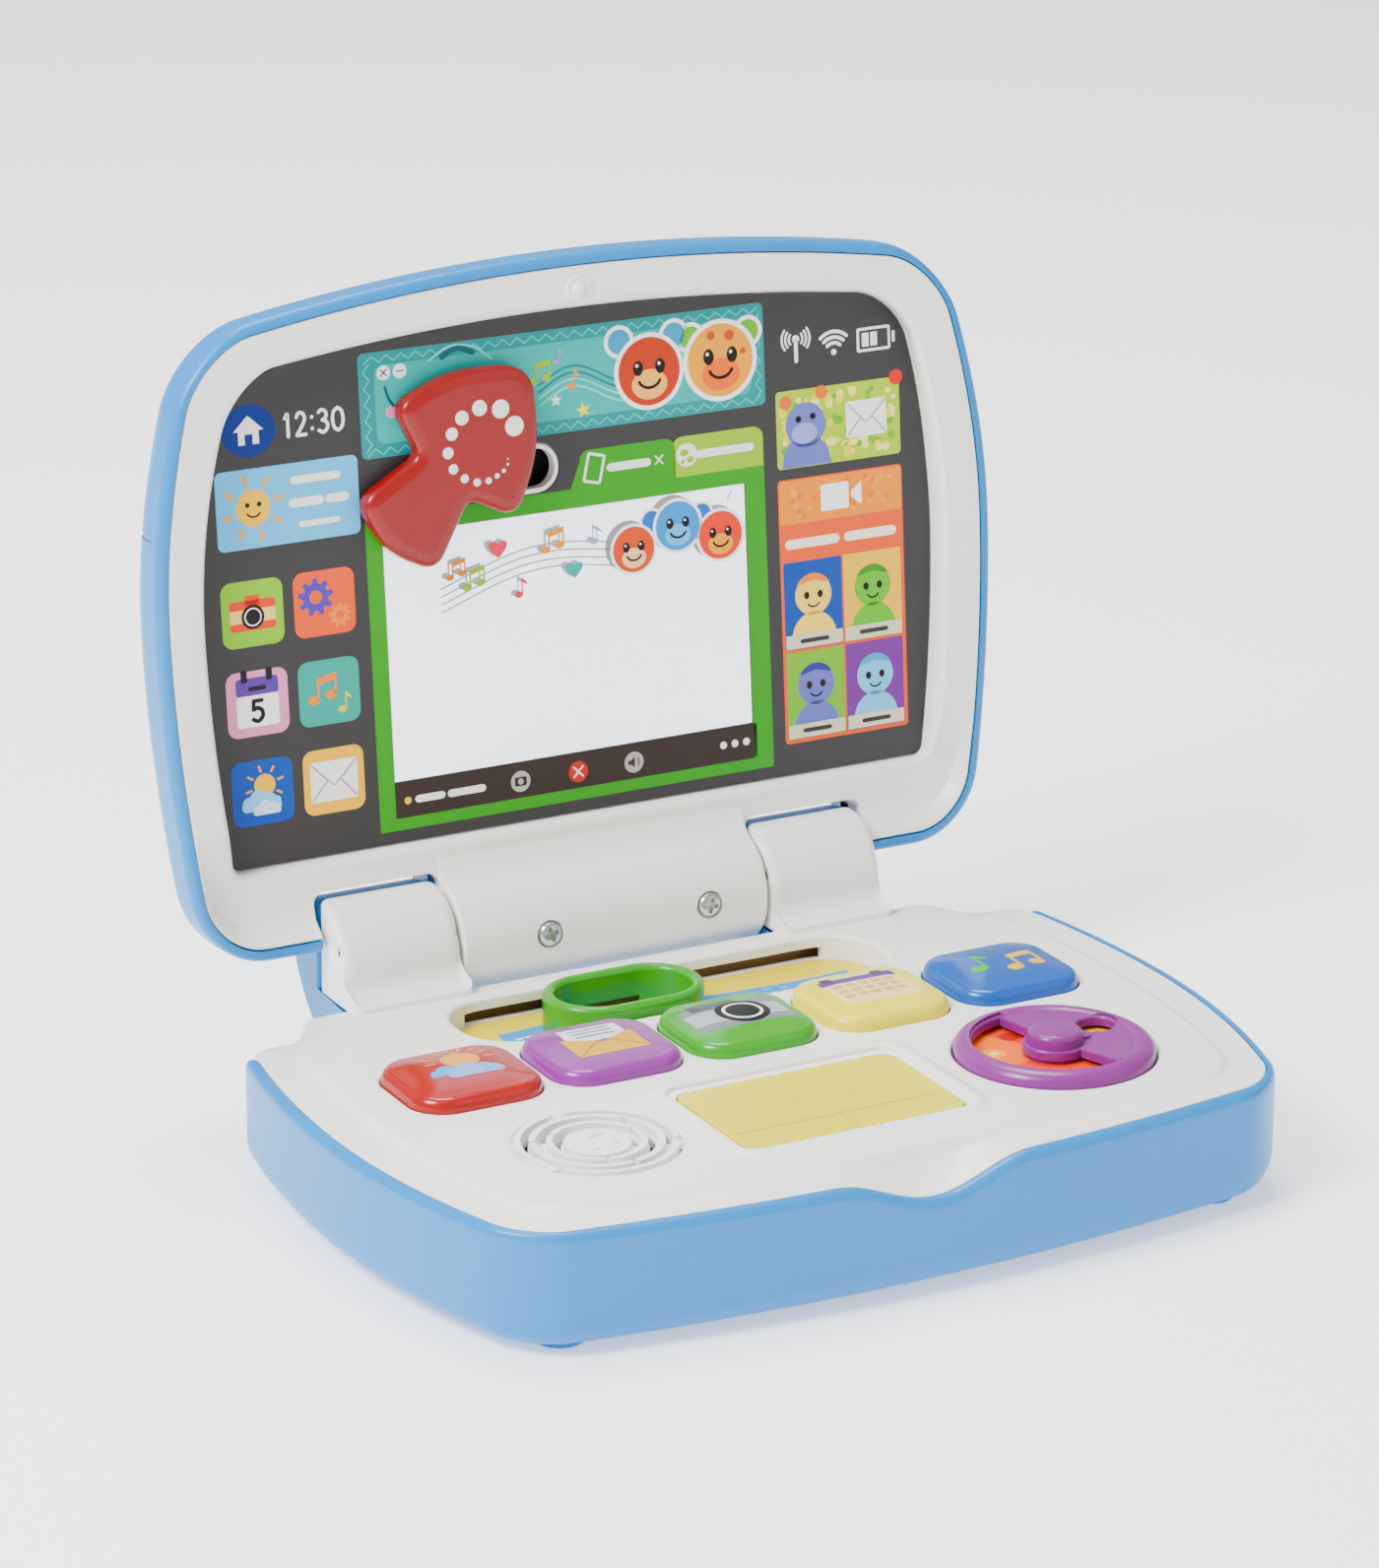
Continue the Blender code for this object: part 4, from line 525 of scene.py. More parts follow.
def make_deck():
    """The white panel: rim, platform, front halves of the knuckles, wells, ridge round the touchpad and grille."""
    rings = [base_ring(14.0, DECK_LOW, 0, corner=20.0), base_ring(9.0, DECK_LOW + 0.1, 0.55),
             base_ring(GAP, DECK_LOW + 0.2, 1.0, drop=0.6, rear_out=RIM)]
    for a in np.linspace(0, math.pi / 2, 5):
        r = 0.5
        rings.append(base_ring(GAP + r * (1 - math.cos(a)), RIM_Z - r * (1 - math.sin(a)), 1.0, rear_out=RIM, drop=1.2))
    rings += [base_ring(2.2, RIM_Z + 0.02, 0.95, rear_out=RIM * 0.7, drop=0.25),
              base_ring(5.0, RIM_Z + 0.02, 0.75, corner=14.0),
              base_ring(8.4, RIM_Z + 0.02, 0.35, corner=18.0)]
    for t in np.linspace(0, 1, 8)[1:]:
        rings.append(base_ring(8.6 + 3.4 * t, RIM_Z + 0.02 + 1.38 * float(smooth(0, 1, t)),
                               0.30 * (1 - t) ** 2, corner=18.5 + 1.5 * t))
    steps = []
    for x0, x1 in both_sides(*KNUCKLE_X):
        front = arc(0, AXIS_Z, KNUCKLE_R, KNUCKLE_R, 90, 186, 26)
        front[0] = (-GAP / 2, AXIS_Z + KNUCKLE_R)
        flare = bezier(tuple(front[-1]), (-14.9, DECK_Z - 0.1), (-21.5, DECK_Z - 0.05), 8)[1:]
        profile = np.concatenate((front, flare, [(-21.5, DECK_LOW + 0.1), (-GAP / 2, DECK_LOW + 0.1)]))
        steps.append(("UNION", block(profile, x0, x1, to_base)))
    well = rounded((TRAY_X[0] - 2, TRAY_X[1] + 2), (TRAY_Y[0] - 1.6, TRAY_Y[1] + 1.8), 14.0, 10)
    wells = [prism(well, TRAY_Z - 2.4, DECK_LOW + 1.0, to_base),
             prism(circle(*DIAL_AT, DIAL_R + 2.6, 64), DECK_Z - 6.2, DECK_LOW + 1.0, to_base)]
    steps.append(("UNION", merge(wells)))
    ridge_out = lambda g: rounded((PAD_X[0] - 3.4 - g, PAD_X[1] + 3.4 + g), (PAD_Y[0] - 2.0 - g, PAD_Y[1] + 5.2 + g),
                                  5.0 + g)
    slope = ((3.0, -0.5), (3.0, 0.0), (2.2, 0.14), (1.2, 0.5), (0.4, 0.75), (-0.3, 0.85), (-1.0, 0.85))
    ridge = [level(ridge_out(g), DECK_Z + z) for g, z in slope]
    steps.append(("UNION", loft(np.array(ridge), to_base)))
    inner = lambda g: rounded((PAD_X[0] - 1.6 - g, PAD_X[1] + 1.6 + g), (PAD_Y[0] - 1.6 - g, PAD_Y[1] + 2.6 + g),
                              4.4 + g)
    steps.append(("DIFFERENCE", pocket(inner, DECK_Z - 0.25, DECK_Z + 0.86, 0.9, to_base)))
    cutters = []
    for index in range(5):
        cx = (index - 2) * KEY_PITCH
        cutters.append(pocket(lambda g, cx=cx: key_line(GAP + g) + (cx, KEY_Y), 10.0, DECK_Z, 0.7, to_base))
    cutters.append(pocket(lambda g: rounded((PAD_X[0] - GAP - g, PAD_X[1] + GAP + g),
                                            (PAD_Y[0] - GAP - g, PAD_Y[1] + GAP + g), 4.0 + g),
                          10.0, DECK_Z - 0.25, 0.35, to_base))
    cutters.append(pocket(lambda g: rounded((TRAY_X[0] - g, TRAY_X[1] + g), (TRAY_Y[0] - g, TRAY_Y[1] + g), 12.5 + g,
                                            14),
                          TRAY_Z - 0.5 - GAP, DECK_Z, 1.3, to_base))
    cutters.append(pocket(lambda g: circle(*DIAL_AT, DIAL_R + GAP + g, 96), DECK_Z - 4.6, DECK_Z, 1.0, to_base))
    steps.append(("DIFFERENCE", merge(cutters)))
    steps.append(("DIFFERENCE", box((-48.5, 48.5), (TRAY_Y[1] - 4, TRAY_Y[1] + 4), (TRAY_Z + 0.1, TRAY_Z + 3.2),
                                    to_base)))
    steps.append(("DIFFERENCE", pocket(lambda g: circle(*SPEAKER_AT, 19.2 + g, 96), DECK_Z - 1.5, DECK_Z, 0.8,
                                       to_base)))
    rings_up = []
    for inside, outside, start, end in ((13.6, 15.2, 42, 152), (17.0, 18.4, 102, 212), (9.9, 11.3, 20, 130)):
        for turn in (0, 120, 240):
            line = grille((inside + outside) / 2, outside - inside, start + turn, end + turn)
            rings_up.append(prism(line, DECK_Z - 2.0, DECK_Z + 0.4, to_base))
    rings_up.append(prism(circle(*SPEAKER_AT, 7.6, 64), DECK_Z - 2.0, DECK_Z - 0.1, to_base))
    steps.append(("UNION", merge(rings_up)))
    slots = []
    for radius, turn in ((8.75, 90), (12.45, 30), (16.1, 90)):
        for k in range(3):
            slots.append(prism(grille(radius, 1.5, turn + 120 * k + 12, turn + 120 * (k + 1) - 12), 10.0, 50.0,
                               to_base))
    steps.append(("DIFFERENCE", merge(slots)))
    bumps = [turned([(0.3, DECK_Z + 0.5), (1.0, DECK_Z + 0.42), (1.5, DECK_Z + 0.1), (1.6, DECK_Z - 1.0)],
                    (SPEAKER_AT[0] + 18.0 * math.cos(a), SPEAKER_AT[1] + 18.0 * math.sin(a)), to_base, 20)
             for a in np.radians((90, 210, 330))]
    steps.append(("UNION", merge(bumps)))
    piece("deck_panel_shell", loft(np.array(rings), to_base), WHITE, "base", ("deck_panel",),
          steps=steps)
    # A brown strip behind the tray's slit, so that the slit shows dark brown.
    piece("slider_slit_back_strip", box((-52.0, 52.0), (-22.6, -21.9), (TRAY_Z - 4.0, DECK_LOW - 0.3), to_base), SLIT_BACK_BROWN,
          "base")
    stems = np.array([(-1.9, -1.6), (-1.1, -1.6), (-1.1, 2.6), (3.7, 3.6), (3.7, -0.8), (4.5, -0.8), (4.5, 5.4),
                      (-1.9, 4.2)])
    note = (circle(-2.6, -2.6, 1.6, 24), circle(2.9, -1.6, 1.6, 24), stems)
    relief = [prism(line + SPEAKER_AT, DECK_Z - 0.3, DECK_Z + 0.25, to_base) for line in note]
    piece("speaker_note_relief", merge(relief), WHITE, "base")


# ---------------------------------------------------------------- lid shells
def knuckle_cutouts():
    """Cutters for the two openings of the lid in which the knuckles stand."""
    return [prism(rounded(span, (-40.0, CUTOUT_V), 3.0), -40.0, 40.0, to_lid) for span in both_sides(*CUTOUT_X)]


def barrel(profile):
    """Half of the hinge barrel: a section of (n, v) points carried across between the knuckles."""
    return block(np.stack((profile[:, 1], profile[:, 0]), -1), -BARREL_HALF, BARREL_HALF, to_lid, fillet=0.8, steps=4)


def make_bezel():
    """The white frame of the lid, with the front half of the barrel between the knuckles."""
    seat = SCREEN_N - 0.8
    rings = [blend_ring(1.0, seat, seat, screen_grow=GAP, wide=1.0)]
    for t in np.linspace(0, 1, 10):
        a = t * math.pi / 2
        rings.append(blend_ring(1.0, 0.4 + 5.6 * math.sin(a), 0.3 + 1.7 * math.sin(a),
                                screen_grow=0.5 + 3.9 * (1 - math.cos(a) ** 0.8),
                                wide=(1 - t) ** 1.3))
    rings += [blend_ring(0.72, 6.2, 2.1), blend_ring(0.5, 6.45, 2.2), blend_ring(0.25, 6.7, 3.2),
              blend_ring(0.1, BEZEL_N - 0.12, BEZEL_N - 0.9)]
    for a in np.linspace(math.pi / 2, 0, 4):
        r = 0.5
        rings.append(blend_ring(0.0, BEZEL_N - 0.1 - r * (1 - math.sin(a)), BEZEL_N - 0.5 - r * (1 - math.sin(a)),
                                grow=-GAP - r * (1 - math.cos(a))))
    rings += [blend_ring(0.0, BEZEL_N - 3.0, BEZEL_N - 3.0, grow=-GAP), blend_ring(0.3, 4.1, -0.2, grow=-GAP),
              blend_ring(1.0, 3.2, -0.4, screen_grow=3.6, wide=1.0),
              blend_ring(1.0, seat - 2.0, seat - 2.0, screen_grow=2.4, wide=1.0)]
    steps = []
    round_part = arc(0, 0, BARREL_R, BARREL_R, -90, 58, 40)
    top = bezier(tuple(round_part[-1]), (3.0, 13.8), (1.9, 20.5), 8)[1:]
    profile = np.concatenate((round_part, top, [(-0.4, 20.5), (GAP / 2, 12.0)]))
    profile[0] = (GAP / 2, -BARREL_R)
    steps.append(("UNION", barrel(profile)))
    collar = [level(slot_line(g), n) for g,
              n in ((1.1, seat - 1), (1.1, SCREEN_N - 0.1), (0.9, SCREEN_N + 0.1), (0.4, SCREEN_N + 0.15))]
    steps.append(("UNION", loft(np.array(collar), to_lid)))
    lens = [(0.2, 1.9), (0.8, 1.8), (1.4, 1.35), (1.75, 0.5), (2.1, 0.22), (2.7, 0.5), (3.1, 0.35), (3.3, -0.6)]
    steps.append(("UNION", turned_lid(lens, (0.0, 153.4), BEZEL_N - 0.12, 40)))
    walls = [box(span, (CUTOUT_V - 5.0, CUTOUT_V + 1.5), (-7.5, 1.0), to_lid)
             for span in both_sides(CUTOUT_X[0] + 0.5, CUTOUT_X[1] + 1.6)]
    steps.append(("UNION", merge(walls)))
    cut = [box((MIRROR_X[0] - GAP, MIRROR_X[1] + GAP), (MIRROR_V[0] - GAP, MIRROR_V[1] + GAP), (SCREEN_N - 2.1, 3.0),
               to_lid),
           prism(slot_line(0.0), -9.0, 9.0, to_lid)]
    steps.append(("DIFFERENCE", merge(cut + knuckle_cutouts())))
    holes = [pocket(lambda g, x=x: circle(x, 0.0, 3.5 + g, 40), BARREL_R - 1.5, BARREL_R, 0.4,
                    to_lid) for x in BARREL_SCREWS]
    steps.append(("DIFFERENCE", merge(holes)))
    piece("lid_bezel_shell", loft(np.array(rings), to_lid), WHITE, "lid", ("lid_bezel",), steps=steps)


def make_screen_sheet():
    """The printed sheet under the bezel, with its windows for the mirror and the arrow's slot."""
    cut = [box((MIRROR_X[0] - 0.2, MIRROR_X[1] + 0.2), (MIRROR_V[0] - 0.2, MIRROR_V[1] + 0.2), (-6.0, 6.0), to_lid),
           prism(slot_line(1.4), -6.0, 6.0, to_lid)]
    piece("screen_sheet", prism(screen_loop(0.0, 1.0), SCREEN_N - 0.5, SCREEN_N, to_lid), GREY, "lid",
          ("screen_print",),
          steps=[("DIFFERENCE", merge(cut))])


def make_slot_painted_shade():
    """A black strip behind the arrow's slot, on which its washer runs; it is also painted shade, so that the slot shows
    dark like the hollow of the lid behind it.
    """
    piece("slot_painted_shade_strip", prism(slot_line(3.4), -8.6, -8.0, to_lid), BLACK, "lid")


def turned_lid(profile, at, n, steps=40):
    """A body of revolution about the screen's normal at (x, v)."""
    return turned([(r, z + n) for r, z in profile], at, to_lid, steps)


def shell_ring(grow, n, taper=0.0):
    """One ring of the lid's back; taper makes the lid thinner towards its top."""
    line = lid_loop(grow)
    return level(line, n + taper * smooth(60, 160, line[:, 1]))


def make_lid_shell():
    """The blue back of the lid, with the rear half of the barrel, walls beside the knuckles and the groove."""
    rings = [shell_ring(-34.0, BACK_N - 0.8, TAPER), shell_ring(-16.0, BACK_N - 0.35, TAPER)]
    for a in np.linspace(0, math.pi / 2, 14):
        rings.append(shell_ring(-9.0 + 11.8 * math.sin(a), BACK_N + 12.0 * (1 - math.cos(a)),
                                TAPER * (1 - 0.4 * math.sin(a))))
    rings.append(shell_ring(RIM, BEZEL_N - 2.3))
    for a in np.linspace(0, math.pi / 2, 6)[1:]:
        rings.append(shell_ring(RIM - 2.2 * (1 - math.cos(a)), BEZEL_N - 2.2 * (1 - math.sin(a))))
    rings += [shell_ring(0.0, BEZEL_N), shell_ring(0.0, BEZEL_N - 3.4), shell_ring(0.6, BACK_N + 12.6, TAPER * 0.6),
              shell_ring(-3.4, BACK_N + 4.5, TAPER), shell_ring(-10.0, BACK_N + 2.2, TAPER)]
    steps = []
    round_part = arc(0, 0, BARREL_R, BARREL_R, 270, 186, 20)
    profile = np.concatenate((round_part,
                              [(-13.9, 5.0), (-13.1, 21.0), (-11.5, 21.0), (-10.8, 18.8), (-2.4, 18.8),
                               (-GAP / 2, BARREL_R)]))
    profile[0] = (-GAP / 2, -BARREL_R)
    steps.append(("UNION", barrel(profile)))
    walls = []
    for x0, x1 in both_sides(39.0, CUTOUT_X[1] + 2.2):
        wall = np.array([(20.0, -3.6), (20.0, BACK_N + 1.2), (10.0, BACK_N + 1.6), (4.4, -3.6)])
        walls.append(block(wall, x0, x1, to_lid, fillet=0.1, steps=2))
    steps.append(("UNION", merge(walls)))
    steps.append(("DIFFERENCE", merge(knuckle_cutouts())))
    half = float(lid_half(GROOVE_V)) + RIM
    line = [(-130, 3.5), (-half + 0.8, 3.5), (-half + 0.8, -1.5), (-half + 2.4, -6.2), (-half + 6.0, -9.4),
            (-half + 12.0, -11.3),
            (half - 12.0, -11.3), (half - 6.0, -9.4), (half - 2.4, -6.2), (half - 0.8, -1.5), (half - 0.8, 3.5),
            (130, 3.5),
            (130, -30), (-130, -30)]
    across = lambda p: to_lid(np.asarray(p)[..., [0, 2, 1]])
    steps.append(("DIFFERENCE", prism(line, GROOVE_V - 0.65, GROOVE_V + 0.65, across)))
    piece("lid_back_shell", loft(np.array(rings), to_lid), BLUE, "lid", ("lid_shell",), steps=steps)


# ---------------------------------------------------------------- keys, pad, dial, ring, arrow
KEYS = (("key_red", "red_key", KEY_RED, "red_plastic"), ("key_purple", "purple_key", KEY_PURPLE, "purple_plastic"),
        ("key_green", "green_key", KEY_GREEN, "green_plastic"),
        ("key_yellow", "yellow_key", KEY_YELLOW, "yellow_plastic"),
        ("key_blue", "blue_key", KEY_BLUE, "deep_blue_plastic"))


def key_body(cx, lift=0.0, low=DECK_LOW - 1.5):
    """A pillow: straight sides, a rounded shoulder and a domed top."""
    top = DECK_Z + KEY_TALL + lift
    rings = [level(key_line(0.9), low), level(key_line(0.9), DECK_LOW - GAP), level(key_line(0.0), DECK_LOW - GAP),
             level(key_line(0.0), top - 3.5)]
    for a in np.linspace(0, math.pi / 2, 8)[1:]:
        rings.append(level(key_line(-2.2 * (1 - math.cos(a)) - 0.1), top - 1.15 - 2.35 * (1 - math.sin(a))))
    for t in np.linspace(0, 1, 9)[1:]:
        rings.append(level(key_line(-2.3 - 11.0 * t), top - 1.15 + 1.15 * (1 - (1 - t) ** 2)))
    return loft(np.array(rings) + (cx, KEY_Y, 0.0), to_base)


def make_keys():
    """The five keycaps."""
    for index, (name, body, mat, slot) in enumerate(KEYS):
        piece(name + "_cap", key_body((index - 2) * KEY_PITCH), mat, body, (name,), smooth=50)


def make_dial():
    """The dial: a turned wheel with a hub and rib, open over the picture through a wide window and an oval."""
    top, low, r = DECK_Z + 3.2, DECK_Z - 3.4, DIAL_R
    hub = DECK_Z + 5.6
    profile = [(0.05, hub), (3.2, hub - 0.02), (HUB_R - 1.4, hub - 0.15)]
    profile += [(HUB_R - 1.4 + 1.4 * math.sin(a), hub - 1.55 + 1.4 * math.cos(a))
                for a in np.linspace(0.2, math.pi / 2, 6)]
    profile += [(HUB_R + 0.3, top - 0.9), (HUB_R + 0.9, top - 0.75), (r - 5.6, top - 0.7), (r - 4.6, top - 0.35)]
    profile += [(r - 3.4 + 3.4 * math.sin(a), top - 3.0 + 3.0 * math.cos(a))
                for a in np.linspace(-0.25, math.pi / 2, 12)]
    profile += [(r, low), (r - 2.0, low), (r - 2.2, top - 3.0), (HUB_R + 0.6, top - 3.0), (HUB_R, low), (3.0, low),
                (3.0, 20.6), (0.05, 20.6)]
    x, y = DIAL_AT

    def window(g):
        """The wide opening, a ring sector whose edges move out by g."""
        a0, a1 = 100 - 2.4 * g, 290 + 2.4 * g
        line = np.concatenate((arc(0, 0, r - 4.4 + g, r - 4.4 + g, a0, a1, 40),
                               arc(0, 0, HUB_R + 1.2 - g, HUB_R + 1.2 - g, a1, a0, 20)))
        return line + (x, y)
    oval = lambda g: arc(0, 0, 4.8 + g, 4.3 + g, 0, 351,
                         40) @ np.array([[math.cos(0.5), math.sin(0.5)],
                                         [-math.sin(0.5), math.cos(0.5)]]) + (x + 13.8, y + 4.4)
    steps = [("DIFFERENCE", merge([pocket(window, top - 8.0, top - 0.7, 0.7, to_base, 12.0),
                                   pocket(oval, top - 8.0, top - 0.7, 0.7, to_base, 12.0)]))]
    rib = prism(rounded((x - 2.0, x + 9.0), (y - 2.4, y + 1.8), 1.6), top - 2.0, top - 0.3, to_base)
    steps.append(("UNION", rib))
    piece("dial_wheel", turned(profile, DIAL_AT, to_base, 96), DIAL_PURPLE, "wheel", ("dial",),
          steps=steps)


def make_ring():
    """The finger ring: a section with a round top, carried round a rounded rectangle."""
    cx, cy = RING_AT
    low, high = TRAY_Z + 0.2, DECK_Z + 3.0
    w = RING_WALL
    section = [(0.0, low), (0.0, high - w / 2)]
    section += [(-w / 2 + w / 2 * math.cos(a), high - w / 2 + w / 2 * math.sin(a))
                for a in np.linspace(0, math.pi, 12)[1:-1]]
    section += [(-w, high - w / 2), (-w, low)]
    rings = [level(rounded((cx - RING_L / 2 - g, cx + RING_L / 2 + g), (cy - RING_D / 2 - g, cy + RING_D / 2 + g),
                           RING_D / 2 + g - 0.02, 24), z)
             for g, z in section]
    seat = box((cx - 9.3, cx + 9.3), (cy + RING_D / 2 - w - 1, cy + RING_D / 2 + 2), (low - 1, TRAY_Z + 1.8), to_base)
    piece("slider_finger_ring", loft(np.array(rings), to_base, closed=True), RING_GREEN, "finger_slider",
          ("slider_ring",),
          steps=[("DIFFERENCE", seat)])


def arrow_line(grow=0.0):
    """The arrow cap about its own middle, pointing along +x, then turned by 45 degrees on to the screen."""
    half = [(30.6, 0.0), (16.0, 15.6), (0.5, 21.6), (-4.0, 8.6), (-22.0, 13.6), (-26.5, 0.0)]
    radii = [9.0, 40.0, 5.2, 3.0, 5.5, 30.0]
    line = round_polygon(half + [(s, -t) for s, t in half[-2:0:-1]], radii + radii[-2:0:-1], 12)
    line = offset(line, -grow) if grow else line
    c = math.sqrt(0.5)
    return line @ np.array([[c, c], [-c, c]]) + ARROW_AT


def make_arrow():
    """The arrow cap, with its stem through the slot."""
    high = ARROW_LOW + ARROW_THICK
    rings = [level(arrow_line(0.5), ARROW_LOW), level(arrow_line(0.1), ARROW_LOW + 0.35),
             level(arrow_line(0.0), ARROW_LOW + 0.9)]
    rings += [level(arrow_line(1.75 * (1 - math.cos(a))),
                    high - 0.25 - 1.75 * (1 - math.sin(a))) for a in np.linspace(0, math.pi / 2, 8)]
    rings += [level(arrow_line(2.6), high - 0.08), level(arrow_line(3.4), high)]
    stem = prism(circle(ARROW_AT[0], SLOT_V, 3.6), SCREEN_N - 2.4, ARROW_LOW + 1, to_lid)
    piece("arrow_cap_body", loft(np.array(rings), to_lid), RED, "arrow", ("arrow_cap",), smooth=50,
          steps=[("UNION", stem)])


def make_screws():
    """Heads of the two barrel screws, with crossed recesses."""
    for index, x in enumerate(BARREL_SCREWS):
        n = BARREL_R - 1.0
        head = turned_lid([(0.05, 1.7), (1.8, 1.62), (2.5, 1.25), (2.95, 0.6), (3.1, 0.0), (1.3, 0.0), (1.3, -10.0)],
                          (x, 0.0), n, 48)
        a = 0.35 + index
        turn = np.array([[math.cos(a), math.sin(a)], [-math.sin(a), math.cos(a)]])
        cross = [(0.5, 0.5), (0.5, 1.9), (-0.5, 1.9), (-0.5, 0.5), (-1.9, 0.5), (-1.9, -0.5), (-0.5, -0.5),
                 (-0.5, -1.9), (0.5, -1.9),
                 (0.5, -0.5), (1.9, -0.5), (1.9, 0.5)]
        cut = prism(np.array(cross) @ turn + (x, 0.0), n + 0.7, n + 4, to_lid)
        piece(f"barrel_screw_{index + 1}_head", head, ZINC, "lid", (f"barrel_screw_{index + 1}",),
              steps=[("DIFFERENCE", cut)])


# ---------------------------------------------------------------- printed artwork
class Print:
    """Thin closed layers of ink on a flat face, one object for each colour; higher levels lie on lower ones."""

    def __init__(self, name, body, slot, place, face, step=0.035):
        """place maps the drawing to the frame, face is the height of the printed face, step a level's thickness."""
        self.name, self.body, self.slot, self.place, self.face, self.step = name, body, slot, place, face, step
        self.shapes = {}

    def add(self, colour, lvl, *lines):
        """Lays outlines of one colour at a level."""
        for line in lines:
            line = np.asarray(line, float)
            self.shapes.setdefault(colour, []).append((line, lvl))

    def make(self):
        """Makes one piece for each colour."""
        for colour, shapes in self.shapes.items():
            parts = [prism(line, self.face - 0.05, self.face + self.step * lvl, self.place) for line, lvl in shapes]
            piece(f"{self.name}_ink_{colour}", merge(parts), ink(colour, colour), self.body, smooth=20)


def ribbon(points, width):
    """A line of the given width with round ends."""
    p = np.asarray(points, float)
    d = np.gradient(p, axis=0)
    d /= np.maximum(np.linalg.norm(d, axis=1, keepdims=True), 1e-9)
    side = np.stack((-d[:, 1], d[:, 0]), -1) * width / 2
    a0, a1 = math.degrees(math.atan2(d[0][1], d[0][0])), math.degrees(math.atan2(d[-1][1], d[-1][0]))
    end = arc(*p[-1], width / 2, width / 2, a1 - 90, a1 + 90, 6)[1:-1]
    start = arc(*p[0], width / 2, width / 2, a0 + 90, a0 + 270, 6)[1:-1]
    return np.concatenate((p - side, end, (p + side)[::-1], start))


def bar(x0, y, x1, width):
    """A short bar that stands where a word would be."""
    return ribbon([(x0, y), ((x0 + x1) / 2, y), (x1, y)], width)


def star(cx, cy, r, turn=90, points=5, inner=0.45):
    """A star whose inner points lie at the given share of the radius."""
    a = np.radians(turn + np.arange(2 * points) * 180 / points)
    rr = np.where(np.arange(2 * points) % 2 == 0, r, r * inner)
    return np.stack((cx + rr * np.cos(a), cy + rr * np.sin(a)), -1)


def heart(cx, cy, r):
    """The heart curve x = 16 sin^3 t, y = 13 cos t - 5 cos 2t - 2 cos 3t, scaled by 0.06 r."""
    t = np.linspace(0, 2 * math.pi, 30, endpoint=False)
    return np.stack((cx + r * 0.06 * 16 * np.sin(t) ** 3,
                     cy + r * 0.06 * (13 * np.cos(t) - 5 * np.cos(2 * t) - 2 * np.cos(3 * t))), -1)


def quaver(cx, cy, s):
    """A single note: head, stem and flag."""
    head = circle(0, 0, 1.0 * s, 16, 0.75 * s)
    stem = np.array([(0.7, 0), (1.0, 0), (1.0, 2.6), (2.1, 2.0), (2.1, 2.5), (1.0, 3.6), (0.7, 3.6)]) * s
    return [head + (cx, cy), stem + (cx, cy)]


def beamed(cx, cy, s):
    """Two notes under a beam."""
    stems = np.array([(0.6, 0), (0.95, 0), (0.95, 2.3), (3.5, 2.9), (3.5, 0.6), (3.85, 0.6), (3.85, 4.0),
                      (0.6, 3.3)]) * s
    heads = [circle(x * s, y * s, 0.95 * s, 16, 0.72 * s) for x, y in ((0, 0), (2.9, 0.6))]
    return [line + (cx, cy) for line in (*heads, stems)]


def cloud(cx, cy, s):
    """A cloud outline: the upper envelope of four discs over a flat base."""
    x = np.linspace(-2.2, 2.2, 45)
    y = np.full_like(x, -0.35)
    for px, py, r in ((-1.4, 0.0, 0.75), (-0.3, 0.45, 1.0), (0.9, 0.15, 0.8), (1.6, -0.05, 0.6)):
        inside = np.clip(r * r - (x - px) ** 2, 0, None)
        y = np.maximum(y, np.where(inside > 0, py + np.sqrt(inside), -0.35))
    line = np.concatenate((np.stack((x, y), -1), [(2.2, -0.5), (1.9, -0.8), (-1.9, -0.8), (-2.2, -0.5)]))
    return line[::-1] * s + (cx, cy)


def smile(cx, cy, rx, ry, width):
    """The lower part of an ellipse, as a line with round ends."""
    return ribbon(arc(cx, cy, rx, ry, 200, 340, 9), width)


def face(art, cx, cy, r, lvl, colour, cheek):
    """A plain round smiling badge with a white die-cut border."""
    art.add(BORDER, lvl, circle(cx, cy, 1.13 * r, 40))
    art.add(colour, lvl + 1, circle(cx, cy, r, 40))
    art.add(cheek, lvl + 2, circle(cx, cy - 0.38 * r, 0.58 * r, 30, 0.44 * r))
    art.add(EYES, lvl + 3, *[circle(cx + side * 0.36 * r, cy + 0.12 * r, 0.16 * r, 16, 0.22 * r) for side in (-1, 1)],
            smile(cx, cy - 0.18 * r, 0.36 * r, 0.3 * r, 0.09 * r))
    art.add("FFFFFF", lvl + 4, *[circle(cx + dx * r, cy + 0.2 * r, 0.05 * r, 10) for dx in (-0.4, 0.32)])


def ears(art, middles, y, outer, inner, colour, low, high, count):
    """Round ears of two discs each, on levels under the badge that they belong to."""
    for x in middles:
        art.add(BORDER, low, circle(x, y, outer, count))
        art.add(colour, high, circle(x, y, inner, count))


def cross(art, cx, cy, reach, colour, lvl, width):
    """Two crossed strokes, one level apart."""
    for up, rise in enumerate((reach, -reach)):
        art.add(colour, lvl + up, ribbon([(cx - reach, cy + rise), (cx, cy), (cx + reach, cy - rise)], width))


def ray(cx, cy, angle, reaches, width):
    """A short stroke that points away from (cx, cy), through the given distances."""
    return ribbon([(cx + reach * math.cos(angle), cy + reach * math.sin(angle)) for reach in reaches], width)


def sun(art, cx, cy, r, lvl):
    """A disc with eight short rays."""
    art.add("F6CE3C", lvl, circle(cx, cy, r, 40))
    for a in np.radians(np.arange(8) * 45 + 15):
        art.add("F0B43A", lvl, ray(cx, cy, a, (1.32 * r, 1.55 * r, 1.78 * r), 0.2 * r))


